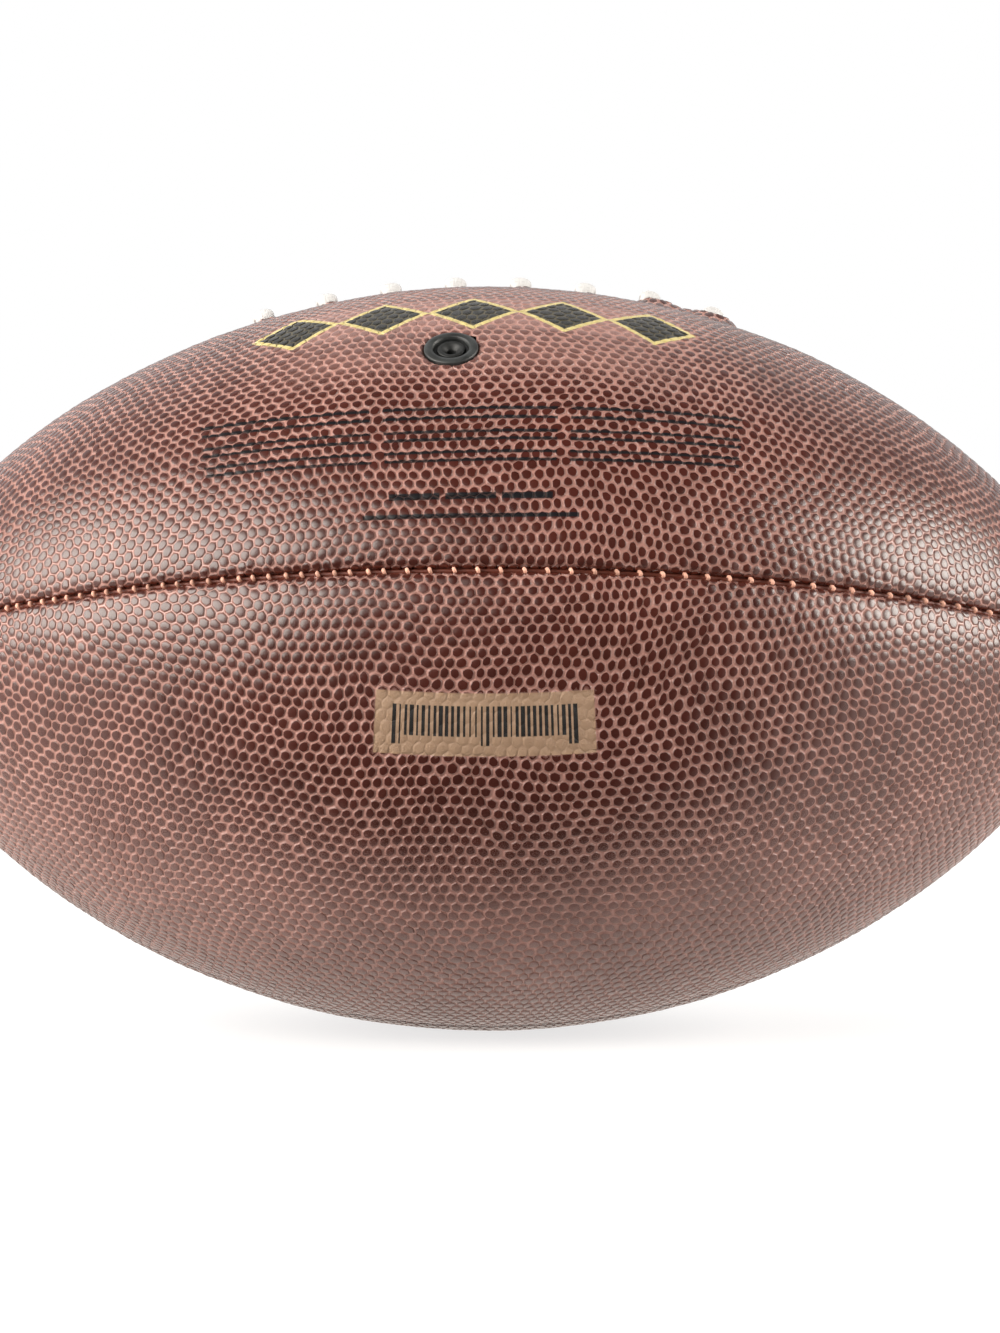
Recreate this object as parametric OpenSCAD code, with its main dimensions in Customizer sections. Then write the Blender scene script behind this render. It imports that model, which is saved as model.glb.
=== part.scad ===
// American football, size for adult play, lying on its side.
// X runs from tip to tip, Z is up, and the origin is the point on the floor under the middle.
// The flank of the ball is one long arc and each tip is a small nose arc that it runs into.
// Every layer is that same outline, set in by its own depth below the outer surface.

/* [Ball] */
// Length of the ball from tip to tip
ball_len = 284; // [274:1:292]
// Diameter of the ball at its middle
ball_dia = 170.8; // [164:0.2:176]
// Radius of the rounded nose at each tip
nose_r = 31; // [24:1:36]
// Angle by which the lacing lies rolled back from straight up
ball_roll = 12; // [0:1:30]
// Thickness of the pebbled cover
cover_t = 1.8; // [1.5:0.1:2.2]

/* [Seams] */
// Gap between two panels where their edges meet
seam_gap = 0.3; // [0.2:0.05:0.4]
// Width over which two panels roll down into the seam between them
seam_w = 6.4; // [5:0.2:8]
// Depth of the valley along a seam
seam_depth = 1.5; // [1.2:0.1:1.7]
// Thickness of the edge that a panel turns in along its seams
flange_t = 1.8; // [1.4:0.1:2.2]
// How far a turned-in edge stands below the inner face of the cover
flange_drop = 2.2; // [1.8:0.1:2.6]
// Thickness of the lockstitch cord in a seam
cord_t = 0.8; // [0.6:0.05:0.9]
// Thickness of the stitches that cross a seam
stitch_t = 0.66; // [0.5:0.02:0.7]
// Length of a stitch across a seam
stitch_len = 1.5; // [1.2:0.1:1.6]
// Distance from one stitch to the next
stitch_pitch = 4.8; // [4.4:0.2:6]

/* [Lining and bladder] */
// Thickness of the cloth lining behind each panel
lining_t = 1.1; // [0.8:0.1:1.4]
// Thickness of the bladder wall
bladder_t = 0.9; // [0.6:0.1:1.2]
// Thickness of the tongue between the lacing and the bladder
tongue_t = 0.9; // [0.6:0.1:1.2]
// Length of the tongue
tongue_len = 152; // [144:1:160]
// Width of the tongue
tongue_w = 36; // [34:1:44]

/* [Lacing] */
// Number of lace bars across the slit
bar_count = 8; // [6:1:8]
// Distance from one lace bar to the next
bar_pitch = 15; // [13:0.5:15.5]
// Distance between the two rows of lace holes
hole_span = 25; // [22:0.5:27]
// Diameter of a punched lace hole
hole_d = 5.4; // [5.2:0.1:6]
// Width of a lace bar
bar_w = 4.8; // [4.6:0.1:5]
// Thickness of a lace bar
bar_t = 2.1; // [1.6:0.1:2.4]
// Width of the strand that runs lengthwise under the bars
strand_w = 4; // [3.4:0.1:4.2]
// Thickness of the lengthwise strand
strand_t = 1.8; // [1.4:0.1:2]
// Diameter of the lace where it passes through a hole
leg_d = 4.4; // [4.3:0.05:4.5]
// Width of the lace where it runs along the inside
run_w = 3.6; // [3:0.1:4]
// Thickness of the lace where it runs along the inside
run_t = 1.6; // [1.2:0.1:1.8]
// Length by which the strand passes the last bar at each end
strand_end = 8; // [7:0.5:9]
// Length of the tucked tails of the lace
tail_len = 8; // [6:0.5:9]
// Thickness of the facings that back the lace holes
facing_t = 0.9; // [0.6:0.1:1.2]
// Length of a facing
facing_len = 140; // [134:1:146]
// Width of a facing beyond the row of holes
facing_edge = 8; // [6:0.5:10]

/* [Valve] */
// Distance of the valve from the middle of the ball, along its length
valve_x = -7.6; // [-20:0.2:20]
// Angle from the lacing seam round to the valve
valve_angle = 52; // [40:1:56]
// Outer diameter of the ring round the valve
ring_d = 11.6; // [11:0.1:13]
// Diameter of the collar that holds the ring under the cover
collar_d = 17; // [16:0.5:19]
// Thickness of that collar
collar_t = 0.9; // [0.7:0.1:1]
// Outer diameter of the valve housing
housing_d = 7.4; // [7.2:0.1:8]
// Length of the valve housing below the surface
housing_len = 22; // [20:0.5:26]
// Diameter of the disc that joins the housing to the bladder
base_d = 26; // [24:1:30]
// Diameter of the plug in the housing
plug_d = 5.9; // [5.4:0.1:6.1]
// Diameter of the hole for the inflating needle
needle_d = 2.4; // [2:0.1:2.6]
// Depth of the needle hole in the plug
needle_depth = 14; // [12:0.5:15]

/* [Fits] */
// Gap between layers that lie on each other
layer_gap = 0.1; // [0.08:0.01:0.14]
// Gap round the bladder and round the lace
seat_gap = 0.2; // [0.15:0.01:0.25]
// Gap round the valve parts where they fit in each other
valve_fit = 0.1; // [0.05:0.01:0.12]

/* [Hidden] */

// Smoothness of round shapes and number of straight steps along the outline
round_fn = 120;
long_fn = 180;
flank_steps = 26;
nose_steps = 6;

// Colours as the photograph shows them, or as such a ball has inside
cover_colour = "#734a43";
thread_colour = "#b9724f";
lace_colour = "#e9e7e2";
lining_colour = "#d8d2c4";
facing_colour = "#5a4a40";
tongue_colour = "#4a4c50";
bladder_colour = "#26282b";
valve_colour = "#1c1c1e";

// Outline of the ball: two arcs that run into each other without a corner
half_len = ball_len / 2;
ball_r = ball_dia / 2;
nose_centre = half_len - nose_r;
flank_r = (half_len * half_len + ball_r * ball_r - 2 * half_len * nose_r) / (2 * (ball_r - nose_r));
flank_centre = ball_r - flank_r;
join_angle = atan2(nose_centre, -flank_centre);

// Depths of the layers below the outer surface
flange_in = cover_t + flange_drop;
lining_out = cover_t + layer_gap;
lining_in = lining_out + lining_t;
facing_out = lining_in + layer_gap;
facing_in = facing_out + facing_t;
run_out = max(flange_in, facing_in) + layer_gap;
run_in = run_out + run_t;
tongue_out = run_in + layer_gap;
tongue_in = tongue_out + tongue_t;
bladder_out = max(flange_in, facing_in) + seat_gap;
bladder_in = bladder_out + bladder_t;
dent_out = tongue_in + seat_gap;
dent_in = dent_out + bladder_t;

// One overrun for every cut, and a block that is larger than the ball
cut_over = cover_t;
block = ball_len + ball_dia;

// Seams
panel_edge = seam_gap / 2;
lining_edge = panel_edge + flange_t + layer_gap;
valley_past_join = 8;
// Across and down, as shares of half the seam's width and of its depth
valley_shares = [[1, 0], [0.6, 0.12], [0.25, 0.45], [0, 1]];
cord_depth = seam_depth * 0.37;
stitch_depth = seam_depth * 0.24;
stitch_angle = stitch_pitch / flank_r * 180 / PI;
seam_end_angle = join_angle - stitch_angle;

// Lacing
bar_angle = bar_pitch / flank_r * 180 / PI;
last_bar_angle = bar_angle * (bar_count - 1) / 2;
strand_end_angle = last_bar_angle + strand_end / flank_r * 180 / PI;
slit_end_angle = strand_end_angle + hole_d / flank_r * 180 / PI;
hole_y = hole_span / 2;
hole_drop = hole_y * hole_y / ball_dia;
strand_top = layer_gap + strand_t;
arch_mid = strand_top + layer_gap;
arch_end = seat_gap - hole_drop;
arch_rise = arch_mid - arch_end;
arch_r = (hole_y * hole_y + arch_rise * arch_rise) / (2 * arch_rise);
leg_bottom = hole_drop + (run_out + run_in) / 2;
run_depth = (run_out + run_in) / 2;
lace_wedge = 24;

// Valve
valve_tilt = asin(valve_x / flank_r);
ring_hole_d = ring_d + 2 * seat_gap;
collar_top = cover_t + layer_gap + collar_d * collar_d / (4 * ball_dia);
collar_bottom = collar_top + collar_t;
collar_hole_d = collar_d + 2 * seat_gap;
ring_bore_d = housing_d + 2 * valve_fit;
plug_bore_d = plug_d + 2 * valve_fit;
housing_recess = collar_t;
plug_recess = collar_t / 3;
lip_t = housing_d / 5;
lip_d = plug_d / 2;
plug_len = housing_len - lip_t - valve_fit - plug_recess;
base_out = collar_bottom + layer_gap;
base_in = bladder_out - layer_gap;

// Points of the outline, set in by a depth, as [along, radius], from one tip to the other
function flank_point(a, depth) = [
    (flank_r - depth) * sin(a),
    (flank_r - depth) * cos(a) + flank_centre
];
function nose_point(a, depth, side) = [
    side * (nose_centre + (nose_r - depth) * sin(a)),
    (nose_r - depth) * cos(a)
];
function nose_angle(i) = join_angle + (90 - join_angle) * i / nose_steps;
function outline(depth) = concat(
    [for (i = [nose_steps : -1 : 1]) nose_point(nose_angle(i), depth, -1)],
    [for (i = [0 : flank_steps]) flank_point(join_angle * (2 * i / flank_steps - 1), depth)],
    [for (i = [1 : nose_steps]) nose_point(nose_angle(i), depth, 1)]
);
function reversed(points) = [for (i = [len(points) - 1 : -1 : 0]) points[i]];
function band(outer, inner) = concat(outline(outer), reversed(outline(inner)));
function swapped(points) = [for (p = points) [p[1], p[0]]];

// Where the legs of the lace stand along X at the depth of the inner runs
function leg_x(a) = (flank_r - run_depth) * sin(a);
function bar_at(i) = bar_angle * (i - (bar_count - 1) / 2);

// Moves the ball from its own frame to its place on the floor
module laid() {
    translate([0, 0, ball_r])
        rotate([-ball_roll, 0, 0])
            children();
}

// Turns a shape by quarters round the long axis, from the lacing towards the back
module quarter(q) {
    rotate([-90 * q, 0, 0])
        children();
}

// Spins a shape of [radius, along] round the long axis, from the lacing towards the back
module spun(from, sweep) {
    rotate([0, -90, 0])
        rotate_extrude(angle = sweep, start = from, $fn = round_fn)
            children();
}

module layer(outer, inner, from = 0, sweep = 90) {
    spun(from, sweep)
        polygon(swapped(band(outer, inner)));
}

module core(depth) {
    spun(0, 360)
        polygon(swapped(outline(depth)));
}

// Puts a shape on the surface above the lacing seam, at an angle along the flank arc
module on_flank(a) {
    translate([0, 0, flank_centre])
        rotate([0, a, 0])
            translate([0, 0, flank_r])
                children();
}

// Sweeps a shape of [distance from the arc's centre, across] along the flank arc
module along_flank(from, to) {
    translate([0, 0, flank_centre])
        rotate([90, 0, 0])
            rotate_extrude(angle = to - from, start = 90 - to, $fn = long_fn)
                children();
}

// A box that is tall enough to reach through every layer above the middle
module tall_box(x0, x1, y0, y1) {
    translate([x0, y0, 0])
        cube([x1 - x0, y1 - y0, block]);
}

// The rolled edges of two panels, as the valley that they leave between them
module seam_valley() {
    half = seam_w / 2;
    side = [for (s = valley_shares) [flank_r - seam_depth * s[1], half * s[0]]];
    other = [for (s = valley_shares) [flank_r - seam_depth * s[1], -half * s[0]]];
    top = [[flank_r + cut_over, -half], [flank_r + cut_over, half]];
    along_flank(-join_angle - valley_past_join, join_angle + valley_past_join)
        polygon(concat(top, side, reversed(other)));
}

module lace_holes() {
    depth = run_out + hole_drop;
    for (i = [0 : bar_count - 1], s = [-1, 1])
        on_flank(bar_at(i))
            translate([0, s * hole_y, -depth])
                cylinder(d = hole_d, h = depth + cut_over, $fn = round_fn);
    for (s = [-1, 1])
        on_flank(s * strand_end_angle)
            translate([0, 0, -depth])
                cylinder(d = hole_d, h = depth + cut_over, $fn = round_fn);
}

// The frame of the valve, with Z outwards and zero at the surface of the ball
module at_valve() {
    rotate([valve_angle, 0, 0])
        on_flank(valve_tilt)
            children();
}

module valve_hole(d, depth) {
    at_valve()
        translate([0, 0, -depth])
            cylinder(d = d, h = depth + cut_over, $fn = round_fn);
}

// A quarter of the ball between two depths, with its straight sides set back
module quarter_layer(outer, inner, edge) {
    difference() {
        layer(outer, inner);
        translate([-block / 2, -block + edge, -block / 2])
            cube(block);
        translate([-block / 2, -block / 2, -block + edge])
            cube(block);
    }
}

// The strips that a panel turns in along its two seams
module turned_edges() {
    translate([0, panel_edge + flange_t, 0])
        rotate([90, 0, 0])
            linear_extrude(height = flange_t)
                polygon(band(cover_t / 2, flange_in));
    translate([0, 0, panel_edge])
        linear_extrude(height = flange_t)
            polygon(band(cover_t / 2, flange_in));
}

module panel(q) {
    quarter(q)
        difference() {
            union() {
                quarter_layer(0, cover_t, panel_edge);
                turned_edges();
            }
            seam_valley();
            quarter(1)
                seam_valley();
        }
}

module panel_top_front() {
    color(cover_colour)
        laid()
            difference() {
                panel(-1);
                lace_holes();
                valve_hole(ring_hole_d, cover_t + collar_t);
            }
}

module panel_top_back() {
    color(cover_colour)
        laid()
            difference() {
                panel(0);
                lace_holes();
            }
}

module panel_bottom_front() {
    color(cover_colour)
        laid()
            panel(2);
}

module panel_bottom_back() {
    color(cover_colour)
        laid()
            panel(1);
}

module lining(q) {
    quarter(q)
        quarter_layer(lining_out, lining_in, lining_edge);
}

module lining_top_front() {
    color(lining_colour)
        laid()
            difference() {
                lining(-1);
                lace_holes();
                valve_hole(collar_hole_d, base_out);
            }
}

module lining_top_back() {
    color(lining_colour)
        laid()
            difference() {
                lining(0);
                lace_holes();
            }
}

module lining_bottom_front() {
    color(lining_colour)
        laid()
            lining(2);
}

module lining_bottom_back() {
    color(lining_colour)
        laid()
            lining(1);
}

// The cord that locks the stitches, with the stitches that cross the seam over it
module seam_thread(from, to) {
    along_flank(from, to)
        translate([flank_r - cord_depth, 0])
            circle(d = cord_t, $fn = round_fn / 2);
    count = floor((to - from) / stitch_angle);
    start = (from + to) / 2 - stitch_angle * (count - 1) / 2;
    for (i = [0 : count - 1])
        on_flank(start + stitch_angle * i)
            translate([0, stitch_len / 2, -stitch_depth])
                rotate([90, 0, 0])
                    cylinder(d = stitch_t, h = stitch_len, $fn = round_fn / 3);
}

module seam_thread_front() {
    color(thread_colour)
        laid()
            quarter(-1)
                seam_thread(-seam_end_angle, seam_end_angle);
}

module seam_thread_back() {
    color(thread_colour)
        laid()
            quarter(1)
                seam_thread(-seam_end_angle, seam_end_angle);
}

module seam_thread_bottom() {
    color(thread_colour)
        laid()
            quarter(2)
                seam_thread(-seam_end_angle, seam_end_angle);
}

module seam_thread_top_left() {
    color(thread_colour)
        laid()
            seam_thread(-seam_end_angle, -slit_end_angle);
}

module seam_thread_top_right() {
    color(thread_colour)
        laid()
            seam_thread(slit_end_angle, seam_end_angle);
}

// One bar of the lace, arched over the strand, with its two legs through the holes
module lace_bar() {
    intersection() {
        translate([-bar_w, 0, arch_mid - arch_r])
            rotate([90, 0, 90])
                linear_extrude(height = 2 * bar_w)
                    difference() {
                        circle(r = arch_r + bar_t, $fn = long_fn);
                        circle(r = arch_r, $fn = long_fn);
                    }
        translate([0, 0, -hole_span])
            linear_extrude(height = 2 * hole_span) {
                square([bar_w, hole_span], center = true);
                for (s = [-1, 1])
                    translate([0, s * hole_y])
                        circle(d = bar_w, $fn = round_fn);
            }
    }
    for (s = [-1, 1])
        translate([0, s * hole_y, -leg_bottom])
            cylinder(d = leg_d, h = leg_bottom + arch_end + bar_t / 2, $fn = round_fn);
}

// The stretches of lace on the inside, which lead from each bar to the next
module lace_runs() {
    strand_x = leg_x(strand_end_angle);
    intersection() {
        layer(run_out, run_in, -lace_wedge, 2 * lace_wedge);
        union() {
            for (i = [0 : bar_count - 2]) {
                side = i % 2 == 0 ? -1 : 1;
                tall_box(
                    leg_x(bar_at(i)),
                    leg_x(bar_at(i + 1)),
                    side * hole_y - run_w / 2,
                    side * hole_y + run_w / 2
                );
            }
            tall_box(-strand_x, leg_x(bar_at(0)), hole_y - run_w / 2, hole_y + run_w / 2);
            tall_box(-strand_x - run_w / 2, -strand_x + run_w / 2, -leg_d / 4, hole_y + run_w / 2);
            last_x = leg_x(last_bar_angle);
            last_side = bar_count % 2 == 0 ? 1 : -1;
            tall_box(
                last_x,
                last_x + tail_len,
                last_side * hole_y - run_w / 2,
                last_side * hole_y + run_w / 2
            );
            tall_box(
                strand_x - run_w / 2,
                strand_x + run_w / 2,
                last_side > 0 ? -tail_len : -leg_d / 4,
                last_side > 0 ? leg_d / 4 : tail_len
            );
        }
    }
}

module lace_strand() {
    strand_x = (flank_r + strand_top) * sin(strand_end_angle);
    intersection() {
        layer(-strand_top, -layer_gap, -lace_wedge, 2 * lace_wedge);
        tall_box(-strand_x, strand_x, -strand_w / 2, strand_w / 2);
    }
    for (s = [-1, 1])
        on_flank(s * strand_end_angle)
            translate([0, 0, -run_depth])
                cylinder(d = leg_d, h = run_depth + strand_top, $fn = round_fn);
}

module lace() {
    color(lace_colour)
        laid() {
            for (i = [0 : bar_count - 1])
                on_flank(bar_at(i))
                    lace_bar();
            lace_strand();
            lace_runs();
        }
}

module lace_facing(side) {
    far = hole_y + facing_edge;
    difference() {
        intersection() {
            layer(facing_out, facing_in, -lace_wedge, 2 * lace_wedge);
            tall_box(
                -facing_len / 2,
                facing_len / 2,
                side > 0 ? lining_edge : -far,
                side > 0 ? far : -lining_edge
            );
        }
        lace_holes();
    }
}

module lace_facing_front() {
    color(facing_colour)
        laid()
            lace_facing(-1);
}

module lace_facing_back() {
    color(facing_colour)
        laid()
            lace_facing(1);
}

module tongue() {
    color(tongue_colour)
        laid()
            intersection() {
                layer(tongue_out, tongue_in, -lace_wedge, 2 * lace_wedge);
                tall_box(-tongue_len / 2, tongue_len / 2, -tongue_w / 2, tongue_w / 2);
            }
}

// The ball inside a depth, dented under the tongue
module dented_core(depth, dent, margin) {
    x = tongue_len / 2 + margin;
    y = tongue_w / 2 + margin;
    difference() {
        core(depth);
        intersection() {
            layer(0, dent, -lace_wedge, 2 * lace_wedge);
            tall_box(-x, x, -y, y);
        }
    }
}

module bladder() {
    color(bladder_colour)
        laid()
            difference() {
                dented_core(bladder_out, dent_out, seat_gap);
                dented_core(bladder_in, dent_in, seat_gap + bladder_t);
                valve_hole(housing_d + 2 * valve_fit, housing_len);
            }
}

module valve_ring() {
    color(valve_colour)
        laid()
            at_valve()
                difference() {
                    union() {
                        translate([0, 0, -collar_bottom])
                            cylinder(d = ring_d, h = collar_bottom, $fn = round_fn);
                        translate([0, 0, -collar_bottom])
                            cylinder(d = collar_d, h = collar_t, $fn = round_fn);
                    }
                    translate([0, 0, -collar_bottom - cut_over])
                        cylinder(d = ring_bore_d, h = collar_bottom + 2 * cut_over, $fn = round_fn);
                }
}

module valve_housing() {
    color(valve_colour)
        laid()
            difference() {
                union() {
                    at_valve()
                        translate([0, 0, -housing_len])
                            cylinder(d = housing_d, h = housing_len - housing_recess, $fn = round_fn);
                    intersection() {
                        rotate([valve_angle, 0, 0])
                            layer(base_out, base_in, -lace_wedge, 2 * lace_wedge);
                        at_valve()
                            translate([0, 0, -housing_len])
                                cylinder(d = base_d, h = housing_len, $fn = round_fn);
                    }
                }
                at_valve()
                    translate([0, 0, lip_t - housing_len])
                        cylinder(d = plug_bore_d, h = housing_len, $fn = round_fn);
                at_valve()
                    translate([0, 0, -housing_len - cut_over])
                        cylinder(d = lip_d, h = housing_len, $fn = round_fn);
            }
}

module valve_plug() {
    color(valve_colour)
        laid()
            at_valve()
                difference() {
                    translate([0, 0, -plug_recess - plug_len])
                        cylinder(d = plug_d, h = plug_len, $fn = round_fn);
                    translate([0, 0, -plug_recess - needle_depth])
                        cylinder(d = needle_d, h = needle_depth + cut_over, $fn = round_fn);
                }
}

panel_top_front();
panel_top_back();
panel_bottom_front();
panel_bottom_back();
lining_top_front();
lining_top_back();
lining_bottom_front();
lining_bottom_back();
seam_thread_front();
seam_thread_back();
seam_thread_bottom();
seam_thread_top_left();
seam_thread_top_right();
lace();
lace_facing_front();
lace_facing_back();
tongue();
bladder();
valve_ring();
valve_housing();
valve_plug();
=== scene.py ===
"""American football: the look of every surface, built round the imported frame.

Everything is in metres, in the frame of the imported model: X runs from tip to tip, Z is up, and the
origin is on the floor under the middle. The file is laid out as an add-on and is run as a script.
"""

import math

import bpy
import numpy as np
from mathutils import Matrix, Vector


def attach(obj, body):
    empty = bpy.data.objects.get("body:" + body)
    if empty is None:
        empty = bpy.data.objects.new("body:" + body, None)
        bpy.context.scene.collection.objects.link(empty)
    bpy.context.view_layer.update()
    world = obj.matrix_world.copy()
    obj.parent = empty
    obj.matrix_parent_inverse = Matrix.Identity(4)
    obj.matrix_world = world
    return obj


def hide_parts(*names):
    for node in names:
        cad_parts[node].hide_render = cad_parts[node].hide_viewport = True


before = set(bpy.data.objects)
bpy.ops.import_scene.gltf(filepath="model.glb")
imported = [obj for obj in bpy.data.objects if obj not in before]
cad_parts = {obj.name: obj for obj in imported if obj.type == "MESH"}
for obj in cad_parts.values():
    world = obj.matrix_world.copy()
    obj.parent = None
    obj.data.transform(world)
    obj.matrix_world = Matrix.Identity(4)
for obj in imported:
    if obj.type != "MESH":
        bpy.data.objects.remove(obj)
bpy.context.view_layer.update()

bl_info = {
    "name": "American football",
    "version": (1, 0, 0),
    "blender": (4, 5, 0),
    "location": "3D View > Sidebar > Football",
    "description": "Builds a laced leather football round its packed frame",
    "category": "Object",
}

BODY = "root"
MM = 0.001
QUARTER = math.pi / 2
PANEL_HALF = math.pi / 4
TINY = 1e-6
WHITE = (1.0, 1.0, 1.0, 1.0)

# Middle of each panel, and each seam, as the angle in degrees from the lacing round towards the front
PANELS = {"top_front": 45, "bottom_front": 135, "bottom_back": -135, "top_back": -45}
SEAMS = {"front": 90, "back": -90, "bottom": 180}

# Shift of the flattened side along the ball
FLAT_SHIFT = 8 * MM
# Leather round the lace holes: its rise, reach and shift along the ball, and the dips beside it
HOLE_RISE = 1.9 * MM
HOLE_REACH = 4.4 * MM
HOLE_SHIFT = 0.8 * MM
PUCKER_DIP = 0.35 * MM
# Ridge along the front row of holes: its middle (length, arc), half length, reach and height
RIDGE_PLACE = (47 * MM, 11 * MM)
RIDGE_HALF_LENGTH = 12 * MM
RIDGE_REACH = 5.5 * MM
RIDGE_RISE = 2.5 * MM
RISE_LIMIT = 1.7 * MM
# The lining lies 1.9 mm below the outline, and the valleys between the pebbles go below the dent
DENT_LIMIT = 1.50 * MM
# Depth of the little dips at the stitches, and their reach from the seam
STITCH_DENT = 0.14 * MM
STITCH_REACH = 3.0 * MM
# Slow waves of the stretched leather
WAVE_HEIGHT = 0.06 * MM
WAVE_LENGTH = 46 * MM
# Leather round the valve: how far outside the ring it starts to dip, how steeply and how deep, the
# depth and reach of the trough outside the ring, and how far inside the ring it is cut
VALVE_START = 0.35 * MM
VALVE_SLOPE = 2.2
VALVE_DEPTH = 1.4 * MM
TROUGH_DEPTH = 0.18 * MM
TROUGH_REACH = 1.5 * MM
VALVE_CUT = 0.6 * MM
# Where a panel turns in before the tip, how far past the tip its sheet goes, and the radius of the
# ball below which its seams grow shallow
TIP_MARGIN = 0.4 * MM
TIP_PAST = 1.2 * MM
TIP_RADIUS = 20 * MM
# Rounds in which a point's length along the outline is found
ROUNDS = 8

# Slow drift of the pebble rows: number of waves, range of their lengths in millimetres, their height
# as a share of that, and the spread of their directions
DRIFT_WAVES = 9
DRIFT_LENGTHS = (30, 85)
DRIFT_SHARE = 0.0125
DRIFT_SPREAD = 0.25
# Random jitter of a pebble, as a share of the pitch, and random height of a whole pebble
JITTER = 0.115
UNEVEN = 0.02 * MM
# Seed of the first panel, and the step from one panel's seed to the next
FIRST_SEED = 40
SEED_STEP = 10
# Points of a pebble's rim, and the share of the way from its centre to its cell's outline at which
# they lie: the plain shares, how much they vary by pebble and by point, and their limits
RIM = 12
RIM_SHARES = np.tile([0.69, 0.61], RIM // 2)
RIM_SPREAD = (0.055, 0.035)
RIM_LIMITS = (0.55, 0.88)
# Outward lean of the normals at a pebble's rim, which makes its top look domed
DOME_LEAN = 0.14
# How far the band and the patch press the pebbles flat, and how much each and the underside of the
# lower front panel level the values that tell a pebble's top from its valley
BAND_PRESS, PATCH_PRESS = 0.75, 0.85
BAND_FADE, UNDERSIDE_FADE, PATCH_FADE = 0.26, 0.17, 0.85
# Printed band over the valve: its middle and half sizes on the flat panel, and its lozenges
BAND_MIDDLE = (-3.0 * MM, 5.6 * MM)
BAND_HALF_LENGTH = 49 * MM
BAND_HALF_HEIGHT = 8.6 * MM
LOZENGES = 5
# Added to the sheet's coordinates, so that the map starts at zero
SHEET_CORNER = (0.2, 0.1)

# Rows of lines: middle of the row on the sheet, distance of its lines from that, half height of a
# line, half length of the row, and the pitch and inked share of its stretches
FRONT_ROWS = [
    (-31.0 * MM, 1.25 * MM, 0.42 * MM, 61.0 * MM, 40.5 * MM, 0.93),
    (-36.9 * MM, 1.00 * MM, 0.38 * MM, 61.0 * MM, 40.5 * MM, 0.93),
    (-42.1 * MM, 1.00 * MM, 0.38 * MM, 61.0 * MM, 40.5 * MM, 0.93),
    (-51.5 * MM, 0.0, 0.75 * MM, 19.0 * MM, 12.6 * MM, 0.90),
    (-55.9 * MM, 0.0, 0.50 * MM, 24.5 * MM, 49.0 * MM, 1.0),
]
# Middle of the rows along the sheet, and how strongly they bow upwards towards their ends
ROW_MIDDLE = -3.5 * MM
ROW_BOW = 2.15
# Tan patch of the lower front panel
LABEL_MIDDLE = (-0.3 * MM, 34.9 * MM)
LABEL_HALF = (23.4 * MM, 6.5 * MM)
# Its bars: their step, half length of the row, and the shift and half height of plain and long bars
BAR_STEP = 1.24 * MM
BAR_ROW = 16 * BAR_STEP
BAR_SHIFT = (0.72 * MM, -0.2 * MM)
BAR_HALF = (3.15 * MM, 4.1 * MM)
# Soft edge of the print
PRINT_EDGE = 0.12 * MM

# Stretch of the front seam, up to this length, whose stitches lie closer, and their share of the pitch
TIGHT_END = -21 * MM
TIGHT_SHARE = 0.72
# Number of stitches for which there is no room before a tip
TIP_STITCHES = 2.5
# A stitch: depth of its ends below the dipped surface, its height, half its width, how far it leans,
# how far it sits towards the lower panel and how far it strays along the seam
STITCH_DEPTH = 1.25 * MM
STITCH_LIFT = 0.85 * MM
STITCH_HALF = 0.42 * MM
STITCH_LEAN = 0.15 * MM
STITCH_ASIDE = 0.22 * MM
STITCH_STRAY = 0.12 * MM
# The cord: step along it, depth below the stitches' ends, half its thickness, the distance of its end
# from the ball's tip, and how far it reaches under each panel's edge
CORD_STEP = 2 * MM
CORD_DEPTH = 1.0 * MM
CORD_HALF = 0.35 * MM
CORD_END = 0.05 * MM
CORD_SQUEEZE = 0.12 * MM

# The lace: power of the bars' curve, depth at which their legs start, length over which the strand's
# ends go down and how far past the inner stretches, the strand's clearance under a bar, its sag below
# the bars and its rise between them
BAR_POWER = 2.1
LEG_TOP = 0.6 * MM
STRAND_BEND = 4.5 * MM
STRAND_PAST = 2 * MM
STRAND_GAP = 0.05 * MM
STRAND_SAG = 0.15 * MM
STRAND_RISE = 0.25 * MM

# Side lamps and the card in front: place, size and power
LAMPS = {
    "left_softbox": ((-0.90, -0.50, 0.50), (1.2, 0.7), 24.2),
    "right_softbox": ((1.02, -0.19, 0.46), (0.7, 0.55), 15.4),
    "front_card": ((-0.30, -0.96, 0.55), (0.5, 0.4), 1.1),
}
# Colour of the lamps, a little warm, and of the floor as the ball mirrors it
LAMP_COLOUR = (1.0, 0.95, 0.88)
MIRROR_COLOUR = (1.0, 0.88, 0.81, 1.0)
FLOOR_HALF = 12.0
PHOTO_WIDTH, PHOTO_HEIGHT = 1000, 1333


# Sizes and colours


def metres(name, description, default):
    """A length in metres that the sidebar shows with its unit."""
    return bpy.props.FloatProperty(
        name=name, description=description, default=default, unit="LENGTH", subtype="DISTANCE", precision=5
    )


def tint(name, description, default):
    """A colour that is set on a material's own sockets."""
    return bpy.props.FloatVectorProperty(
        name=name, description=description, default=default, size=3, min=0.0, max=1.0, subtype="COLOR"
    )


def degrees(name, description, default):
    """An angle given in degrees, kept in radians."""
    return bpy.props.FloatProperty(
        name=name, description=description, default=math.radians(default), unit="ROTATION", subtype="ANGLE"
    )


def pixels(name, description, default):
    """A length in pixels of the photograph."""
    return bpy.props.FloatProperty(name=name, description=description, default=default)


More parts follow.
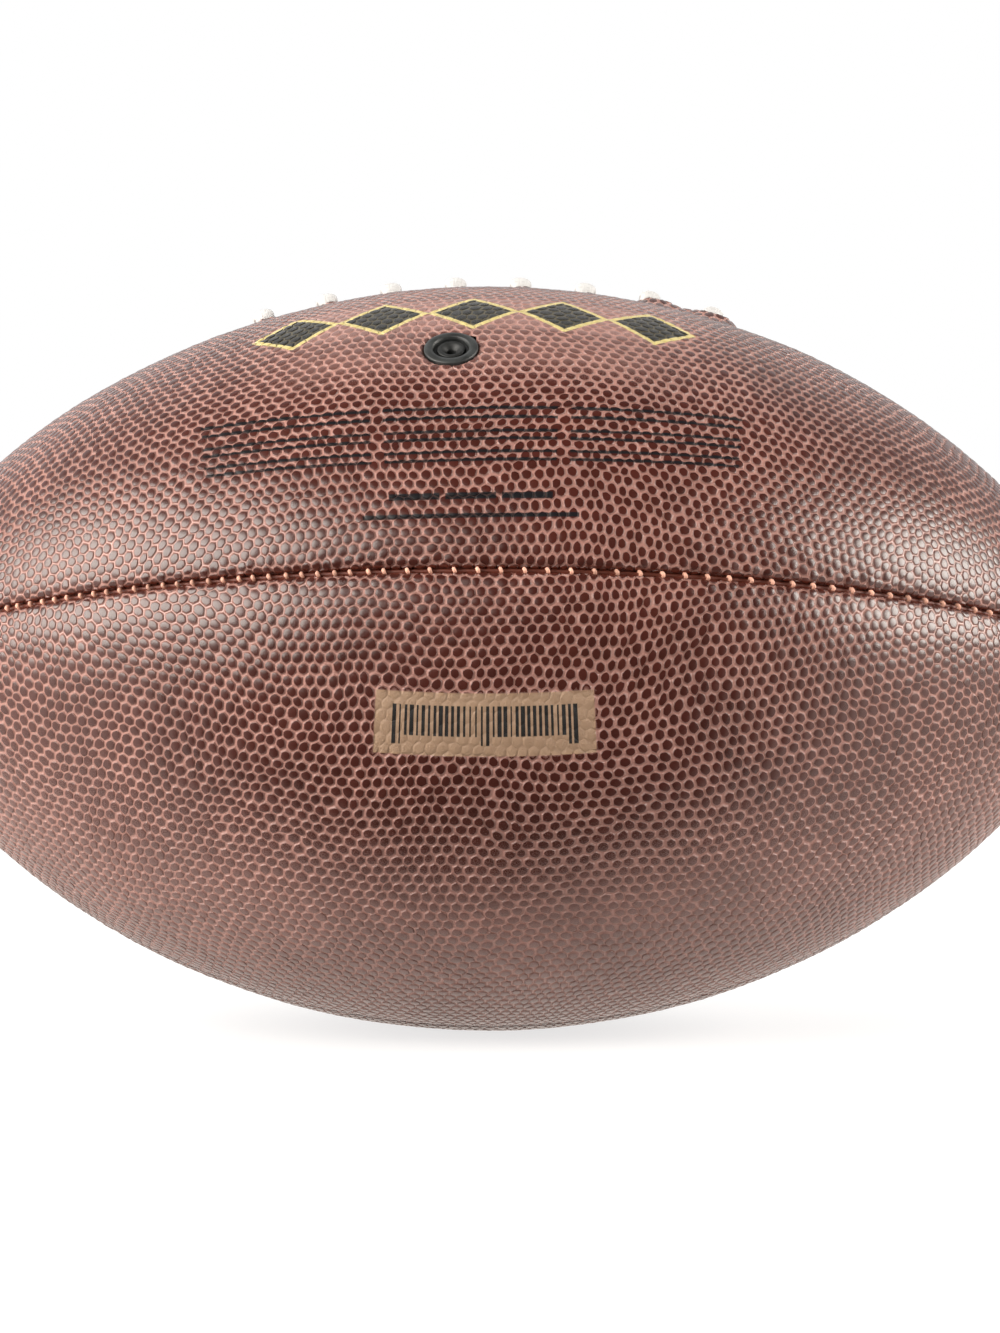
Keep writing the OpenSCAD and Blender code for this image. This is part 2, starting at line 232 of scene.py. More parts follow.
class BallSettings(bpy.types.PropertyGroup):
    """Outline of the ball and how it lies."""

    length: metres("Length", "Length from tip to tip", 0.284)
    diameter: metres("Diameter", "Diameter at the middle", 0.1708)
    nose_radius: metres("Nose radius", "Radius of the rounded tips", 0.031)
    roll: degrees("Roll", "Angle by which the lacing lies rolled back", 12.0)
    flat_depth: metres("Flat depth", "How far the lacing side is drawn in at its middle", 0.00125)
    flat_width: metres("Flat width", "Reach of that flattening across the ball", 0.046)
    flat_length: metres("Flat length", "Reach of that flattening along the ball", 0.078)


class LeatherSettings(bpy.types.PropertyGroup):
    """Pebbled cover."""

    pitch: metres("Pebble pitch", "Distance from one pebble to the next", 0.00258)
    relief: metres("Pebble relief", "Height of a pebble above the valley round it", 0.00034)
    dome: metres("Pebble dome", "Height of a pebble's middle above its rim", 0.00007)
    top_colour: tint("Pebble colour", "Colour of the tops of the pebbles", (0.046, 0.0088, 0.0053))
    valley_colour: tint("Valley colour", "Colour between the pebbles", (0.345, 0.173, 0.142))
    # Painted shade: the leather turned into a seam is darkened where the seam's shade falls
    seam_shade_colour: tint("Seam colour", "Colour of the edges turned into a seam", (0.140, 0.032, 0.019))
    ink_colour: tint("Ink", "Colour of the dark print", (0.006, 0.006, 0.007))
    trim_colour: tint("Trim", "Colour of the outline of the print", (0.56, 0.46, 0.17))
    label_colour: tint("Label", "Colour of the tan patch", (0.345, 0.215, 0.125))


class SeamSettings(bpy.types.PropertyGroup):
    """Seams and their stitches."""

    gap: metres("Gap", "Gap between two panels deep in a seam", 0.0008)
    roll_radius: metres("Roll radius", "Radius over which a panel turns into a seam", 0.0017)
    sag_depth: metres("Sag", "How far a panel dips towards a seam before it turns in", 0.0007)
    sag_width: metres("Sag width", "Reach of that dip from the seam", 0.0045)
    wall: metres("Wall", "How far a turned-in edge is drawn past its roll", 0.0022)
    pitch: metres("Stitch pitch", "Distance from one stitch to the next", 0.0048)
    thread: metres("Thread", "Thickness of the thread", 0.0008)
    thread_colour: tint("Thread colour", "Colour of the waxed thread", (0.72, 0.385, 0.28))


class LaceSettings(bpy.types.PropertyGroup):
    """Lace, its bars and its lengthwise strand."""

    bars: bpy.props.IntProperty(name="Bars", description="Number of bars across the slit", default=8, min=2)
    pitch: metres("Bar pitch", "Distance from one bar to the next", 0.015)
    span: metres("Hole span", "Distance between the two rows of holes", 0.025)
    width: metres("Lace width", "Width of the lace", 0.0052)
    thickness: metres("Lace thickness", "Thickness of the lace", 0.0026)
    top: metres("Lace height", "Height of the bars above the round outline of the ball", 0.0033)
    end: metres("Strand end", "Length by which the strand passes the last bar", 0.008)
    depth: metres("Inner depth", "Depth of the stretches of lace on the inside", 0.0049)
    colour: tint("Lace colour", "Colour of the lace", (0.60, 0.595, 0.59))


class ValveSettings(bpy.types.PropertyGroup):
    """Valve in the upper front panel."""

    along: metres("Along", "Place of the valve along the ball", -0.0076)
    turn: degrees("Turn", "Angle from the lacing round to the valve", 52.0)
    ring: metres("Ring", "Outer diameter of the ring", 0.0116)
    ring_bore: metres("Ring bore", "Inner diameter of the ring", 0.0076)
    housing: metres("Housing", "Outer diameter of the housing", 0.0074)
    plug: metres("Plug", "Diameter of the plug", 0.0059)
    needle: metres("Needle hole", "Diameter of the hole for the needle", 0.0024)
    colour: tint("Rubber colour", "Colour of the valve", (0.011, 0.012, 0.012))


class StageSettings(bpy.types.PropertyGroup):
    """Camera, lamps and floor."""

    distance: metres("Camera distance", "Distance from the camera to the middle of the ball", 0.70)
    azimuth: degrees("Azimuth", "Angle by which the camera stands round to the right", 0.0)
    focal_pixels: pixels("Focal length", "Focal length in pixels of the photograph", 3050.0)
    middle_x: pixels("Middle across", "Pixel of the ball's middle, across", 487.9)
    middle_y: pixels("Middle down", "Pixel of the ball's middle, down", 656.4)
    floor_colour: tint("Floor colour", "Colour of the floor", (0.86, 0.86, 0.86))


class FootballSettings(bpy.types.PropertyGroup):
    """All settings of the ball."""

    ball: bpy.props.PointerProperty(type=BallSettings)
    leather: bpy.props.PointerProperty(type=LeatherSettings)
    seam: bpy.props.PointerProperty(type=SeamSettings)
    lace: bpy.props.PointerProperty(type=LaceSettings)
    valve: bpy.props.PointerProperty(type=ValveSettings)
    stage: bpy.props.PointerProperty(type=StageSettings)


# Shape of the ball


class Outline:
    """The ball's outline: a long flank arc that runs into a small nose arc at each tip."""

    def __init__(self, ball):
        self.half, self.mid_r, self.nose_r = ball.length / 2, ball.diameter / 2, ball.nose_radius
        rise = self.half**2 + self.mid_r**2 - 2 * self.half * self.nose_r
        self.flank_r = rise / (2 * (self.mid_r - self.nose_r))
        self.flank_centre = self.mid_r - self.flank_r
        self.nose_centre = self.half - self.nose_r
        self.join = math.atan2(self.nose_centre, -self.flank_centre)
        self.join_s = self.flank_r * self.join
        self.end_s = self.join_s + self.nose_r * (QUARTER - self.join)

    def at(self, s):
        """Place along the axis, radius and slope at a length s along the outline from its middle.

        The slope is s over the flank radius up to the join, then grows with the nose radius.
        """
        m = np.minimum(np.abs(s), self.end_s)
        on_nose = m > self.join_s
        slope = np.where(on_nose, self.join + (m - self.join_s) / self.nose_r, m / self.flank_r)
        sine, cosine = np.sin(slope), np.cos(slope)
        along = np.where(on_nose, self.nose_centre + self.nose_r * sine, self.flank_r * sine)
        radius = np.where(on_nose, self.nose_r * cosine, self.flank_r * cosine + self.flank_centre)
        side = np.where(s < 0, -1.0, 1.0)
        return side * along, radius, side * slope


def rolled(vectors, ball):
    """Turns vectors of the ball's own frame back by the roll angle about X."""
    c, s = math.cos(ball.roll), math.sin(ball.roll)
    x, y, z = vectors.T
    return np.column_stack([x, y * c + z * s, z * c - y * s])


def laid(points, ball):
    """Turns points of the ball's own frame by the roll and lifts them onto the floor."""
    return rolled(points, ball) + np.array([0.0, 0.0, ball.diameter / 2])


def surface(outline, s, turn):
    """Points on the round outline, their outward normals and the directions of growing turn.

    The point at turn t lies at radius r in the direction (-sin t, cos t) of the YZ plane.
    """
    along, radius, slope = outline.at(s)
    sin_t, cos_t = np.sin(turn), np.cos(turn)
    points = np.column_stack([along, -radius * sin_t, radius * cos_t])
    normals = np.column_stack([np.sin(slope), -np.cos(slope) * sin_t, np.cos(slope) * cos_t])
    return points, normals, np.column_stack([np.zeros_like(sin_t), -cos_t, -sin_t])


def spot(outline, s, turn):
    """Point, outward normal and direction of growing turn at one place on the round outline."""
    return [rows[0] for rows in surface(outline, np.array([s]), np.array([turn]))]


def bump(distance, reach):
    """A smooth bell: one at zero, falling as the square of distance over reach."""
    return np.exp(-((distance / reach) ** 2))


def unit(values):
    """Values held between zero and one."""
    return np.clip(values, 0.0, 1.0)


def sized(vectors, least=0.0):
    """Vectors divided by their own lengths, or by a least length where they are shorter."""
    return vectors / np.maximum(np.linalg.norm(vectors, axis=1, keepdims=True), least)


def bar_places(lace):
    """Lengths along the lacing seam at which the bars lie."""
    return (np.arange(lace.bars) - (lace.bars - 1) / 2) * lace.pitch


def strand_reach(lace):
    """Length along the seam from the middle to the end of the lengthwise strand."""
    return (lace.bars - 1) / 2 * lace.pitch + lace.end


def lacing_dent(settings, s, arc):
    """How far the lacing side is drawn in at length s and at a distance arc from its seam.

    A broad plateau with soft edges flattens the side. A bell at each lace hole raises the leather
    that the lace pulls up, a dip lies between two holes, and a ridge runs along the front row of
    holes near one end. The whole stays above the lining.
    """
    ball, lace = settings.ball, settings.lace
    spread = (arc / ball.flat_width) ** 4 + ((s + FLAT_SHIFT) / ball.flat_length) ** 4
    dent = ball.flat_depth * np.exp(-spread)
    row = np.abs(arc) - lace.span / 2
    for place in bar_places(lace):
        dent = dent - HOLE_RISE * bump(np.hypot(s - place - HOLE_SHIFT, row), HOLE_REACH)
        dent = dent + PUCKER_DIP * bump(np.hypot(s - place - lace.pitch / 2, row * 0.6), HOLE_REACH)
    ridge = np.exp(-(((s - RIDGE_PLACE[0]) / RIDGE_HALF_LENGTH) ** 4))
    dent = dent - RIDGE_RISE * ridge * bump(arc - RIDGE_PLACE[1], RIDGE_REACH)
    for side in (-1, 1):
        dent = dent + PUCKER_DIP * bump(np.hypot(s - side * strand_reach(lace), arc), HOLE_REACH)
    return np.clip(dent, -RISE_LIMIT, DENT_LIMIT)


def valve_centre(settings, outline):
    """Length along the outline, turn and surface point of the valve."""
    s = math.asin(settings.valve.along / outline.flank_r) * outline.flank_r
    return s, settings.valve.turn, spot(outline, s, settings.valve.turn)[0]


def valve_dent(settings, outline, points):
    """How far the leather dips round the valve, so that the ring covers its cut edge.

    Inside the ring the dip deepens steadily, and a shallow trough runs round outside it.
    """
    distance = np.linalg.norm(points - valve_centre(settings, outline)[2], axis=1)
    rim = settings.valve.ring / 2
    inside = np.maximum(rim + VALVE_START - distance, 0.0)
    return np.minimum(inside * VALVE_SLOPE, VALVE_DEPTH) + TROUGH_DEPTH * bump(distance - rim, TROUGH_REACH)


def sheet_to_ball(settings, outline, middle, u, v):
    """Carries points (u, v) of a flat panel onto the ball, where middle is the panel's own turn.

    u runs along the panel's middle line and v across it, up towards the lacing side of the sheet.
    A point lies at the turn v over the radius r from the middle line. Its length along the outline
    is u less sin(slope) v squared over 2 r, which keeps the rows square to each other. Past the
    panel's edge the sheet goes round a small quarter circle and then straight down into the seam.
    Past a tip it goes straight down too. Returns surface points, the sheet's outward directions and
    how far each point lies past the quarter circle.
    """
    seam = settings.seam
    s = u.copy()
    last = outline.end_s - TIP_MARGIN
    for _ in range(ROUNDS):
        _, radius, slope = outline.at(np.clip(s, -last, last))
        edge = radius * PANEL_HALF
        s = u - np.sin(slope) * np.clip(v, -edge, edge) ** 2 / (2 * radius)
    past_tip = np.maximum(np.abs(s) - last, 0.0)
    s = np.clip(s, -last, last)
    _, radius, slope = outline.at(s)
    edge = radius * PANEL_HALF
    fade = unit(radius / TIP_RADIUS)
    roll = seam.roll_radius * fade + TINY
    start = np.maximum(edge - roll - seam.gap / 2, 0.0)
    past = np.maximum(np.abs(v) - start, 0.0)
    angle = np.minimum(past / roll, QUARTER)
    side = np.sign(v)
    lateral = np.minimum(np.abs(v), start) + roll * np.sin(angle)
    depth = roll * (1 - np.cos(angle)) + np.maximum(past - roll * QUARTER, 0.0) + past_tip
    turn = middle - side * lateral / radius
    points, normals, across = surface(outline, s, turn)
    to_seam = np.maximum(edge - lateral, 0.0)
    dent = seam.sag_depth * fade * bump(to_seam, seam.sag_width)
    stitches = np.cos(2 * math.pi * s / seam.pitch)
    dent = dent + STITCH_DENT * fade * stitches * bump(to_seam, STITCH_REACH)
    wave_u = np.sin(u * 2 * math.pi / WAVE_LENGTH + middle * 5)
    wave_v = np.sin(v * 2 * math.pi / WAVE_LENGTH + middle)
    dent = dent + WAVE_HEIGHT * (1 + wave_u * wave_v)
    arc = np.arctan2(np.sin(turn), np.cos(turn)) * radius
    dent = np.minimum(dent + lacing_dent(settings, s, arc), DENT_LIMIT)
    dent = dent + valve_dent(settings, outline, points)
    out = normals * np.cos(angle)[:, None] + (np.sin(angle) * -side)[:, None] * across
    return points - normals * (depth + dent)[:, None], out, past - roll * QUARTER


# Pebbled sheet


def wander(u, v, seed):
    """Slow sideways drift of the pebble rows, as a sum of waves in random directions."""
    draw = np.random.default_rng(seed)
    du, dv = np.zeros_like(u), np.zeros_like(v)
    for _ in range(DRIFT_WAVES):
        heading, phase = draw.uniform(0, 2 * math.pi, 2)
        aim = heading + QUARTER + draw.normal(0.0, DRIFT_SPREAD)
        wave = draw.uniform(*DRIFT_LENGTHS) * MM
        size = wave * DRIFT_SHARE
        turn = np.sin((u * math.cos(heading) + v * math.sin(heading)) * 2 * math.pi / wave + phase)
        du += size * math.cos(aim) * turn
        dv += size * math.sin(aim) * turn
    return du, dv


def pebble_lattice(pitch, reach_u, reach_v, seed):
    """Centres of pebbles on a flat sheet, in a grid [a, b] of axial steps of a hexagonal lattice.

    The centre (a, b) lies at a pitches along u plus b steps at 60 degrees, moved by the slow
    drift and by a small random jitter.
    """
    rise = pitch * math.sqrt(3) / 2
    rows = int(reach_v / rise) + 3
    steps = int(reach_u / pitch + rows / 2) + 3
    a, b = np.meshgrid(np.arange(-steps, steps + 1), np.arange(-rows, rows + 1), indexing="ij")
    u, v = (a + b / 2) * pitch, b * rise
    du, dv = wander(u, v, seed)
    jitter = np.random.default_rng(seed + 1).normal(0.0, pitch * JITTER, (2,) + u.shape)
    return np.stack([u + du + jitter[0], v + dv + jitter[1]], axis=-1)


def shifted(grid, da, db):
    """The same grid, read da and db steps further on."""
    return np.roll(grid, (-da, -db), axis=(0, 1))


def pebble_cells(pitch, reach_u, reach_v, seed):
    """Each pebble's centre, and the six valley points round it as indices into one list.

    A valley point is the middle of a triangle of the lattice. Three cells share it and it is
    numbered once, so neighbours are joined.
    """
    centres = pebble_lattice(pitch, reach_u, reach_v, seed)
    ahead, above = shifted(centres, 1, 0), shifted(centres, 0, 1)
    up = (centres + ahead + above) / 3
    down = (ahead + above + shifted(centres, 1, 1)) / 3
    count = centres.shape[0] * centres.shape[1]
    number = np.arange(count).reshape(centres.shape[:2])
    ring = [(0, 0, 0), (1, -1, 0), (0, -1, 0), (1, -1, -1), (0, 0, -1), (1, 0, -1)]
    valley = np.stack([shifted(number, da, db) + kind * count for kind, da, db in ring], axis=-1)
    inner = (slice(1, -1), slice(1, -1))
    points = np.concatenate([up.reshape(-1, 2), down.reshape(-1, 2)])
    return centres[inner].reshape(-1, 2), valley[inner].reshape(-1, 6), points


def stamped(u, v):
    """How far the print presses the pebbles down: one in the band, fading out above and below."""
    over = v - BAND_MIDDLE[1]
    band = unit((BAND_HALF_HEIGHT + 2 * MM - np.abs(over)) / (3 * MM))
    below = 0.6 * unit((v + 24 * MM) / (10 * MM)) * (v < BAND_MIDDLE[1])
    above = 0.4 * unit(over / (9 * MM)) * unit((42 * MM - v) / (20 * MM))
    along = unit((BAND_HALF_LENGTH + 6 * MM - np.abs(u - BAND_MIDDLE[0])) / (20 * MM))
    return np.maximum(np.maximum(band, below), above) * along


def underside_fade(v):
    """How far the pebble tops fade towards the valley's colour and level towards the underside of a lower panel.
    """
    return unit((24 * MM - v) / (34 * MM))


def patched(u, v):
    """One on the tan patch, which bridges the pebbles, and zero beside it."""
    along = LABEL_HALF[0] - np.abs(u - LABEL_MIDDLE[0])
    across = LABEL_HALF[1] - np.abs(v - LABEL_MIDDLE[1])
    return unit(np.minimum(along, across) / (0.4 * MM) + 0.5)


def pebble_faces(rim, hub, valley):
    """Triangles of the pebbles: a fan from each hub to its rim, and a ring from the rim to the valley."""
    far = np.roll(valley, -1, axis=1)
    near_rim, side_rim = rim[:, 1::2], np.roll(rim[:, ::2], -1, axis=1)
    triangles = [
        (np.broadcast_to(hub[:, None], rim.shape), rim, np.roll(rim, -1, axis=1)),
        (near_rim, valley, side_rim),
        (valley, far, side_rim),
        (side_rim, far, np.roll(near_rim, -1, axis=1)),
    ]
    return np.concatenate([np.stack(three, axis=-1).reshape(-1, 3) for three in triangles])


def panel_mesh(settings, outline, name, middle, seed):
    """One pebbled panel: every pebble is a low dome with a rim of twelve points, in a cell of six sides.

    A cell is a fan from the dome's centre to its rim and a ring of triangles from the rim down to
    the valley, which it shares with its neighbours. The points come in the order valleys, rims, hubs.
    """
    leather, seam, ball = settings.leather, settings.seam, settings.ball
    reach_v = outline.mid_r * PANEL_HALF + seam.wall
    centres, valley, points = pebble_cells(leather.pitch, outline.end_s, reach_v, seed)
    place, _, past = sheet_to_ball(settings, outline, middle, *centres.T)
    kept = (past < seam.wall) & (np.abs(centres[:, 0]) < outline.end_s + TIP_PAST)
    if name == "top_front":
        centre = valve_centre(settings, outline)[2]
        kept &= np.linalg.norm(place - centre, axis=1) > settings.valve.ring / 2 - VALVE_CUT
    centres = centres[kept]
    used, valley = np.unique(valley[kept], return_inverse=True)
    valley, points = valley.reshape(-1, 6), points[used]
    corners = points[valley]
    sides = (corners + np.roll(corners, 1, axis=1)) / 2
    around = np.stack([sides, corners], axis=2).reshape(-1, RIM, 2)
    first, cells = len(points), len(centres)
    draw = np.random.default_rng(seed + 2)
    grow = 1 + draw.normal(0.0, RIM_SPREAD[0], (cells, 1)) + draw.normal(0.0, RIM_SPREAD[1], (cells, RIM))
    shares = np.clip(RIM_SHARES[None, :] * grow, *RIM_LIMITS)
    rims = centres[:, None, :] + (around - centres[:, None, :]) * shares[:, :, None]
    flat = np.concatenate([points, rims.reshape(-1, 2), centres])
    kind = np.repeat([0, 1, 2], [first, cells * RIM, cells])
    rim_points = slice(first, first + cells * RIM)

    def spread(values, valley_value):
        """One value for each pebble, carried to all its points."""
        return np.concatenate([np.full(first, valley_value), np.repeat(values, RIM), values])

    stamp = stamped(*flat.T) * (name == "top_front")
    patch = patched(*flat.T) * (name == "bottom_front")
    # Towards the underside the pebble tops fade to the valley's colour, which pales the panel there
    fading = underside_fade(flat[:, 1]) * (name == "bottom_front")
    height = np.array([-leather.relief, -leather.dome, 0.0])[kind] * (1 - BAND_PRESS * stamp - PATCH_PRESS * patch)
    height += spread(draw.normal(0.0, UNEVEN, cells), 0.0)
    tone = spread(draw.random(cells), 0.5)
    place, out, turned_in = sheet_to_ball(settings, outline, middle, *flat.T)
    normals = sheet_normals(settings, outline, middle, flat, place, out)
    normals[rim_points] += sized(place[rim_points] - place[-cells:].repeat(RIM, axis=0), TINY) * DOME_LEAN
    rim = first + np.arange(cells * RIM).reshape(-1, RIM)
    faces = pebble_faces(rim, first + cells * RIM + np.arange(cells), valley)
    mesh = mesh_of("panel_" + name, laid(place + out * height[:, None], ball), [faces])
    raised = (kind > 0) * (1 - BAND_FADE * stamp - UNDERSIDE_FADE * fading)
    add_values(mesh, "pebble", raised + (0.5 - raised) * PATCH_FADE * patch)
    add_values(mesh, "tone", tone)
    # How far an edge has turned into its seam, which the material uses to paint shade there
    add_values(mesh, "turned_in", unit(1 + turned_in / (seam.roll_radius * QUARTER)))
    add_map(mesh, "sheet", flat + np.array(SHEET_CORNER))
    mesh.normals_split_custom_set_from_vertices(rolled(sized(normals), ball))
    return mesh


def sheet_normals(settings, outline, middle, flat, place, out):
    """Normals of the sheet without its pebbles: the cross product of two short steps along it.

    Where a step has no length, past the end of the sheet, the plain outward direction stays.
    """
    step = 0.05 * MM
    least = 0.05 * step**2
    steps = []
    for du, dv in ((step, 0.0), (0.0, step)):
        moved, _, _ = sheet_to_ball(settings, outline, middle, flat[:, 0] + du, flat[:, 1] + dv)
        steps.append(moved - place)
    crossed = np.cross(*steps)
    size = np.linalg.norm(crossed, axis=1, keepdims=True)
    normals = sized(crossed, least)
    normals *= np.sign(np.sum(normals * out, axis=1, keepdims=True))
    return np.where(size > least, normals, out)


# Meshes


def mesh_of(name, points, face_groups):
    """A smooth mesh from an array of points and arrays of faces, one array for each face size."""
    mesh = bpy.data.meshes.new(name)
    corners = np.concatenate([f.ravel() for f in face_groups]).astype(np.int32)
    sizes = np.concatenate([np.full(len(f), f.shape[1]) for f in face_groups])
    starts = np.concatenate([[0], np.cumsum(sizes)[:-1]]).astype(np.int32)
    mesh.vertices.add(len(points))
    mesh.vertices.foreach_set("co", np.ascontiguousarray(points, dtype=np.float32).ravel())
    mesh.loops.add(len(corners))
    mesh.loops.foreach_set("vertex_index", corners)
    mesh.polygons.add(len(sizes))
    mesh.polygons.foreach_set("loop_start", starts)
    mesh.update(calc_edges=True)
    mesh.shade_smooth()
    return mesh


def add_values(mesh, name, values):
    """Stores one number for each point of a mesh."""
    layer = mesh.attributes.new(name, "FLOAT", "POINT")
    layer.data.foreach_set("value", np.asarray(values, dtype=np.float32))


def add_map(mesh, name, places):
    """Stores a UV map that gives each point of a mesh its place on a flat sheet, in metres."""
    corners = np.empty(len(mesh.loops), dtype=np.int32)
    mesh.loops.foreach_get("vertex_index", corners)
    layer = mesh.uv_layers.new(name=name)
    layer.uv.foreach_set("vector", places[corners].astype(np.float32).ravel())


def linked(name, data):
    """A new object for a mesh, a lamp or the camera, in the scene."""
    made = bpy.data.objects.new(name, data)
    bpy.context.scene.collection.objects.link(made)
    return made


def place_piece(name, mesh, material, node):
    """Links a piece, lets it ride with the ball and hides the imported part that it stands for."""
    piece = linked(name, mesh)
    mesh.materials.append(material)
    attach(piece, BODY)
    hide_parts(node)


def grid_faces(rows, columns, closed_rows=False):
    """Four-sided faces of a grid of points, row by row, with its columns closed on themselves."""
    i, j = np.meshgrid(np.arange(rows if closed_rows else rows - 1), np.arange(columns), indexing="ij")
    below, beside = (i + 1) % rows, (j + 1) % columns
    corners = [i * columns + j, i * columns + beside, below * columns + beside, below * columns + j]
    return np.stack(corners, axis=-1).reshape(-1, 4)


def swept(path, sideways, half_width, half_thickness, corners, power):
    """Points of a closed tube with a flattened cross-section, carried along a path, ring by ring.

    The section is a superellipse: across the sideways direction it reaches half_width and across
    the direction square to path and sideways it reaches half_thickness.
    """
    ahead = sized(np.gradient(path, axis=0))
    side = sized(sideways - ahead * np.sum(sideways * ahead, axis=1, keepdims=True))
    up = np.cross(ahead, side)
    angle = np.arange(corners) * 2 * math.pi / corners
    c, s = (np.sign(f) * np.abs(f) ** (2 / power) for f in (np.cos(angle), np.sin(angle)))
    w, t = (np.broadcast_to(half, len(path))[:, None, None] for half in (half_width, half_thickness))
    return path[:, None, :] + side[:, None, :] * c[None, :, None] * w + up[:, None, :] * s[None, :, None] * t


def tubes_mesh(name, tubes):
    """A mesh of closed tubes: each is a grid of rings whose ends close on a point in their middle."""
    points, walls, caps, shift = [], [], [], 0
    for rings in tubes:
        count, corners, _ = rings.shape
        points += [rings.reshape(-1, 3), rings[0].mean(axis=0)[None], rings[-1].mean(axis=0)[None]]
        walls.append(grid_faces(count, corners) + shift)
        j = np.arange(corners)
        following, base, tip = (j + 1) % corners, (count - 1) * corners, np.full(corners, count * corners)
        caps.append(np.stack([tip, following, j], axis=-1) + shift)
        caps.append(np.stack([tip + 1, base + j, base + following], axis=-1) + shift)
        shift += count * corners + 2
    return mesh_of(name, np.concatenate(points), [np.concatenate(walls), np.concatenate(caps)])


def turned(profile, steps):
    """Points and faces of a closed profile of (radius, height) spun round the Z axis."""
    angle = np.arange(steps) * 2 * math.pi / steps
    radius, height = profile[:, 0], profile[:, 1]
    x, y = np.cos(angle)[:, None] * radius, np.sin(angle)[:, None] * radius
    points = np.stack([x, y, np.broadcast_to(height, x.shape)], axis=-1)
    return points.reshape(-1, 3), grid_faces(steps, len(profile), closed_rows=True)


# Node trees


class Tree:
    """Short calls that add nodes to one node tree and join them."""

    def __init__(self, tree, shader=None):
        self.tree, self.shader = tree, shader

    def add(self, kind, inputs=None, **values):
        """A shader node of a kind, with its properties, and with its inputs set or joined."""
        node = self.tree.nodes.new("ShaderNode" + kind)
        for key, value in values.items():
            setattr(node, key, value)
        for key, value in (inputs or {}).items():
            self.feed(node.inputs[key], value)
        return node

    def feed(self, socket, value):
        """Joins a socket to another, or sets it to a value."""
        if isinstance(value, bpy.types.NodeSocket):
            self.tree.links.new(value, socket)
        else:
            socket.default_value = value

    def fill(self, node, **inputs):
        """Feeds inputs of a node by their names, whose spaces are underscores."""
        for key, value in inputs.items():
            self.feed(node.inputs[key.replace("_", " ")], value)
        return node.outputs

    def group(self, name, make, **inputs):
        """Outputs of a node for a shared group, which is made on first use."""
        return self.fill(self.add("Group", node_tree=bpy.data.node_groups.get(name) or make()), **inputs)

    def grain(self, size, mottle):
        """Outputs of the fine grain over the piece's own coordinates."""
        return self.group("fine_grain", grain_group, Place=self.place(), Grain_size=size, Mottle_size=mottle)

    def place(self):
        """The piece's own coordinates."""
        return self.add("TexCoord").outputs["Object"]

    def axes(self, vector):
        """The three parts of a vector."""
        return self.add("SeparateXYZ", {0: vector}).outputs

    def stored(self, name):
        """A number that the mesh stores for each point."""
        return self.add("Attribute", attribute_name=name, attribute_type="GEOMETRY").outputs["Fac"]

    def math(self, operation, *values):
        """Result of a Math node."""
        return self.add("Math", dict(enumerate(values)), operation=operation).outputs[0]

    def times(self, a, b):
        """Product of two values."""
        return self.math("MULTIPLY", a, b)

    def most(self, a, b):
        """The larger of two values."""
        return self.math("MAXIMUM", a, b)

    def less(self, a, b):
        """The first value less the second."""
        return self.math("SUBTRACT", a, b)

    def off(self, value, middle):
        """Distance of a value from a middle."""
        return self.math("ABSOLUTE", self.less(value, middle))

    def mix(self, factor, a, b):
        """Result of mixing two colours."""
        return self.add("Mix", {0: factor, 6: a, 7: b}, data_type="RGBA").outputs[2]

    def ramp(self, value, low, high, bottom=0.0, top=1.0, kind="SMOOTHSTEP"):
        """A value carried from the range low to high onto the range bottom to top."""
        inputs = {0: value, 1: low, 2: high, 3: bottom, 4: top}
        return self.add("MapRange", inputs, interpolation_type=kind).outputs[0]

    def noise(self, place, scale, detail=2.0, roughness=0.5):
        """A noise value between zero and one."""
        inputs = {"Vector": place, "Scale": scale, "Detail": detail, "Roughness": roughness}
        return self.add("TexNoise", inputs, noise_dimensions="3D").outputs["Fac"]

    def bump(self, height, distance, strength=1.0, under=None):
        """Normal of a bump of a height in metres, over another normal where there is one."""
        node = self.add("Bump", {"Height": height, "Distance": distance, "Strength": strength})
        if under is not None:
            self.feed(node.inputs["Normal"], under)
        return node.outputs[0]


def new_group(name, inputs, outputs):
    """An empty node group with an input Place, float inputs and float outputs, and its Tree."""
    group = bpy.data.node_groups.new(name, "ShaderNodeTree")
    group.interface.new_socket("Place", in_out="INPUT", socket_type="NodeSocketVector")
    for label, default in inputs.items():
        socket = group.interface.new_socket(label, in_out="INPUT", socket_type="NodeSocketFloat")
        socket.default_value = default
    for label in outputs:
        group.interface.new_socket(label, in_out="OUTPUT", socket_type="NodeSocketFloat")
    given, result = group.nodes.new("NodeGroupInput"), group.nodes.new("NodeGroupOutput")
    return group, Tree(group), given.outputs, result


def grain_group():
    """Fine grain of leather and rubber: a height for bumps, and a slow mottling of the colour."""
    sizes = {"Grain size": 0.0004, "Mottle size": 0.02}
    group, tree, given, result = new_group("fine_grain", sizes, ["Height", "Mottle"])
    scales = [tree.math("DIVIDE", 1.0, given[name]) for name in sizes]
    height = tree.noise(given["Place"], scales[0], 3.0, 0.6)
    mottle = tree.noise(given["Place"], scales[1], 3.0, 0.55)
    tree.fill(result, Height=height, Mottle=tree.ramp(mottle, 0.3, 0.7))
    return group


